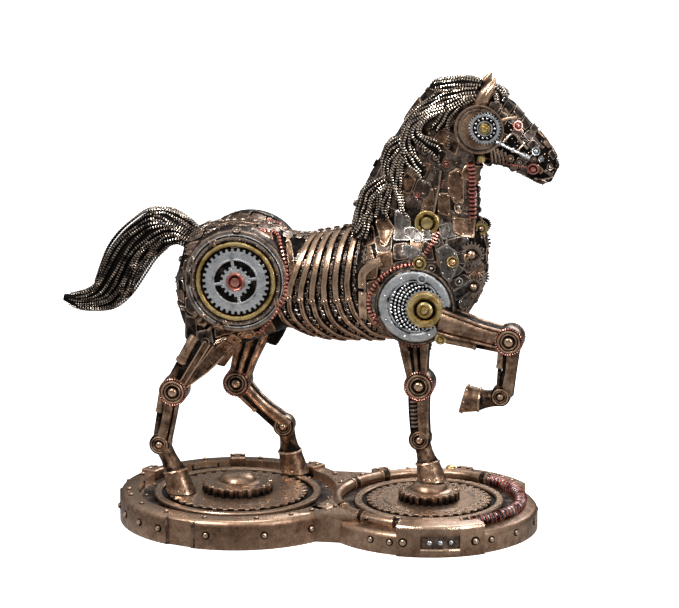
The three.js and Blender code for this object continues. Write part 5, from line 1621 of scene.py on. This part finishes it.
def plinth_details():
    rear, front = -HALF_SPACING, HALF_SPACING
    turntable("rear_turntable", rear, 42.2, 35.5, 40, 18, 24)
    turntable("front_turntable", front, 37.5, 31.4, 38, 15.5, 24)
    rim_rivets(rear, REAR_RADIUS - 4.6, (163, -168, -157, 118, 88, 36, 72, -26, -38, -51, -97, -120, -140,
                                         -70, 135))
    rim_rivets(rear, 46.4, range(0, 360, 24), WELL_FLOOR + 0.6, 0.8)
    rim_rivets(front, FRONT_RADIUS - 4, (60, 50, 42, 110, 140, 160, -150, -120), 15, 1.2)
    side_rivets(rear, REAR_RADIUS, (-135, -121, -95, -67, -42, -150, -165, 165, 145, 100, 75, 50))
    side_rivets(front, FRONT_RADIUS, (-114, -103, -48, -30, -8, 16, 40, 64, 88, 112), 6.4, 1.4)
    for bearing in (153.7, 100.4, 54.1):
        clamp(rear, REAR_RADIUS, REAR_RIM, bearing)
    for bearing in (126.9, 76.9):
        clamp(front, FRONT_RADIUS, FRONT_RIM, bearing)
    # Blocks set back into the rear wall in the bronze darkened as painted shade, each with a dark seam at
    # both ends.
    for start, end, low, high in ((-116, -101, 0.4, 12.6), (-34, -26, 0, PLINTH_TOP), (112, 128, 0.4, 12.6),
                                  (-188, -172, 0.4, 12.6)):
        curved_plate(piece("plinth_blocks", "well"), rear, 50, REAR_RADIUS - 1.4, start, end, low, high)
        for seam in (start - 0.5, end - 0.5):
            curved_plate(piece("plinth_blocks", "gunmetal"), rear, 50, REAR_RADIUS + 0.1, seam,
                         seam + 1.0, low,
                         PLINTH_TOP - 0.6, 0.2)
    curved_plate(piece("plinth_blocks", "base"), rear, 52, REAR_RADIUS, -31, -24, 0, PLINTH_TOP + 0.4, 0.5)
    knob, _ = round_about(front, 85, FRONT_RADIUS - 4, PLINTH_TOP)
    turned(piece("brass_knob", "brass"), knob, UP, [(2.6, -3, -1), (2.8, 0.6, 0.4), (2.2, 1.6, 0.7),
                                                    (1.1, 2.2, 0.8)], 20)
    pipes()
    front_panel()


plinth = plinth_body()
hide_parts("plinth")
plinth_details()

fill_body()
ribs()
spine()
fill_breast()
for each_side in SIDES:
    haunch_disc(each_side)
    shoulder_disc(each_side)
    trunk_details(each_side)
    face(each_side)
throat()
ears()
mane()
tail()
near_hind_leg()
far_hind_leg()
far_fore_leg()
near_fore_leg()
for made in Piece.made.values():
    made.make()

# Stage, lights and camera

FLOOR_REACH = 6.0
WHITE = (1, 1, 1, 1)


def make_floor():
    """A table that only the eye sees, lit white."""
    mesh = bpy.data.meshes.new("floor")
    s = FLOOR_REACH
    mesh.from_pydata([(-s, -s, 0), (s, -s, 0), (s, s, 0), (-s, s, 0)], [], [(0, 1, 2, 3)])
    floor = bpy.data.objects.new("floor", mesh)
    bpy.context.scene.collection.objects.link(floor)
    white = bpy.data.materials.new("floor")
    Tree(white).fill(white.node_tree.nodes["Principled BSDF"], {
        "Base Color": (0.93, 0.93, 0.93, 1), "Roughness": 0.9, "Emission Color": WHITE,
        "Emission Strength": 0.85,
    })
    mesh.materials.append(white)
    floor.visible_glossy = False
    floor.visible_diffuse = False


# The room that the metal mirrors: how bright it is by the share of its height and of its breadth
ROOM_HEIGHT = [(0.0, 0.6), (0.37, 0.56), (0.45, 0.06), (0.6, 0.03), (0.72, 0.25), (0.9, 0.75)]
ROOM_BREADTH = [(0.0, 0.5), (0.2, 0.02), (0.8, 0.02), (1.0, 0.4)]


def make_world():
    """A white backdrop to the eye. The metal sees a room lit from above and from both sides, dark
    behind the camera."""
    world = bpy.data.worlds.new("studio")
    bpy.context.scene.world = world
    tree = Tree(world)
    world.node_tree.nodes.clear()
    where = tree.add("TexCoord", {}, "Generated")
    parts = {way: tree.add("SeparateXYZ", {0: where}, way) for way in "XZ"}

    def stepped(way, steps):
        share = tree.sum_of(parts[way], 0.5, 0.5)
        return tree.ramp(share, [(position, (level,) * 3) for position, level in steps], "EASE")

    room = tree.add("Mix", {"Factor": 1.0, "A": stepped("Z", ROOM_HEIGHT),
                            "B": stepped("X", ROOM_BREADTH)}, 2,
                    data_type="RGBA", blend_type="ADD")
    lit = tree.add("Background", {"Color": room, "Strength": 0.6})
    seen = tree.add("Background", {"Color": WHITE, "Strength": 1.0})
    eye = tree.add("LightPath", {}, "Is Camera Ray")
    tree.fill(world.node_tree.nodes.new("ShaderNodeOutputWorld"),
              {"Surface": tree.add("MixShader", {"Fac": eye, 1: lit, 2: seen})})


# Each lamp: place, breadth and height in metres, and power in watts
LAMPS = {
    "key": ((-0.5, -0.9, 1.0), (0.3, 0.3), 13),
    "fill": ((0.9, -0.8, 0.6), (0.2, 0.5), 6),
    "top": ((0.1, 0.1, 1.2), (0.6, 0.25), 3.6),
    "rim": ((0.3, 0.9, 0.7), (0.8, 0.4), 4),
}
LIT_PLACE = Vector((0, 0, 0.11))


def make_lamp(name, place, size, power):
    data = bpy.data.lights.new(name, "AREA")
    data.shape = "RECTANGLE"
    data.size, data.size_y = size
    data.energy = power
    lamp = bpy.data.objects.new(name, data)
    bpy.context.scene.collection.objects.link(lamp)
    lamp.location = place
    lamp.rotation_euler = (LIT_PLACE - Vector(place)).to_track_quat("-Z", "Y").to_euler()


CAMERA_AZIMUTH, CAMERA_ELEVATION = math.radians(9.0), math.radians(13.7)
CAMERA_DISTANCE, CAMERA_TARGET = 2.0, Vector((0.003298, 0, 0.112939))
SENSOR_WIDTH = 36
METRES_ACROSS = 679 * 0.0005


def make_camera():
    data = bpy.data.cameras.new("camera")
    data.sensor_width = SENSOR_WIDTH
    data.lens = SENSOR_WIDTH * CAMERA_DISTANCE / METRES_ACROSS
    data.clip_end = 50
    camera = bpy.data.objects.new("camera", data)
    bpy.context.scene.collection.objects.link(camera)
    a, e = CAMERA_AZIMUTH, CAMERA_ELEVATION
    back = Vector((math.sin(a) * math.cos(e), -math.cos(a) * math.cos(e), math.sin(e)))
    camera.location = CAMERA_TARGET + back * CAMERA_DISTANCE
    camera.rotation_euler = (-back).to_track_quat("-Z", "Y").to_euler()
    bpy.context.scene.camera = camera


make_floor()
make_world()
for lamp_name, lamp_sizes in LAMPS.items():
    make_lamp(lamp_name, *lamp_sizes)
make_camera()
bpy.context.scene.view_settings.view_transform = "Standard"
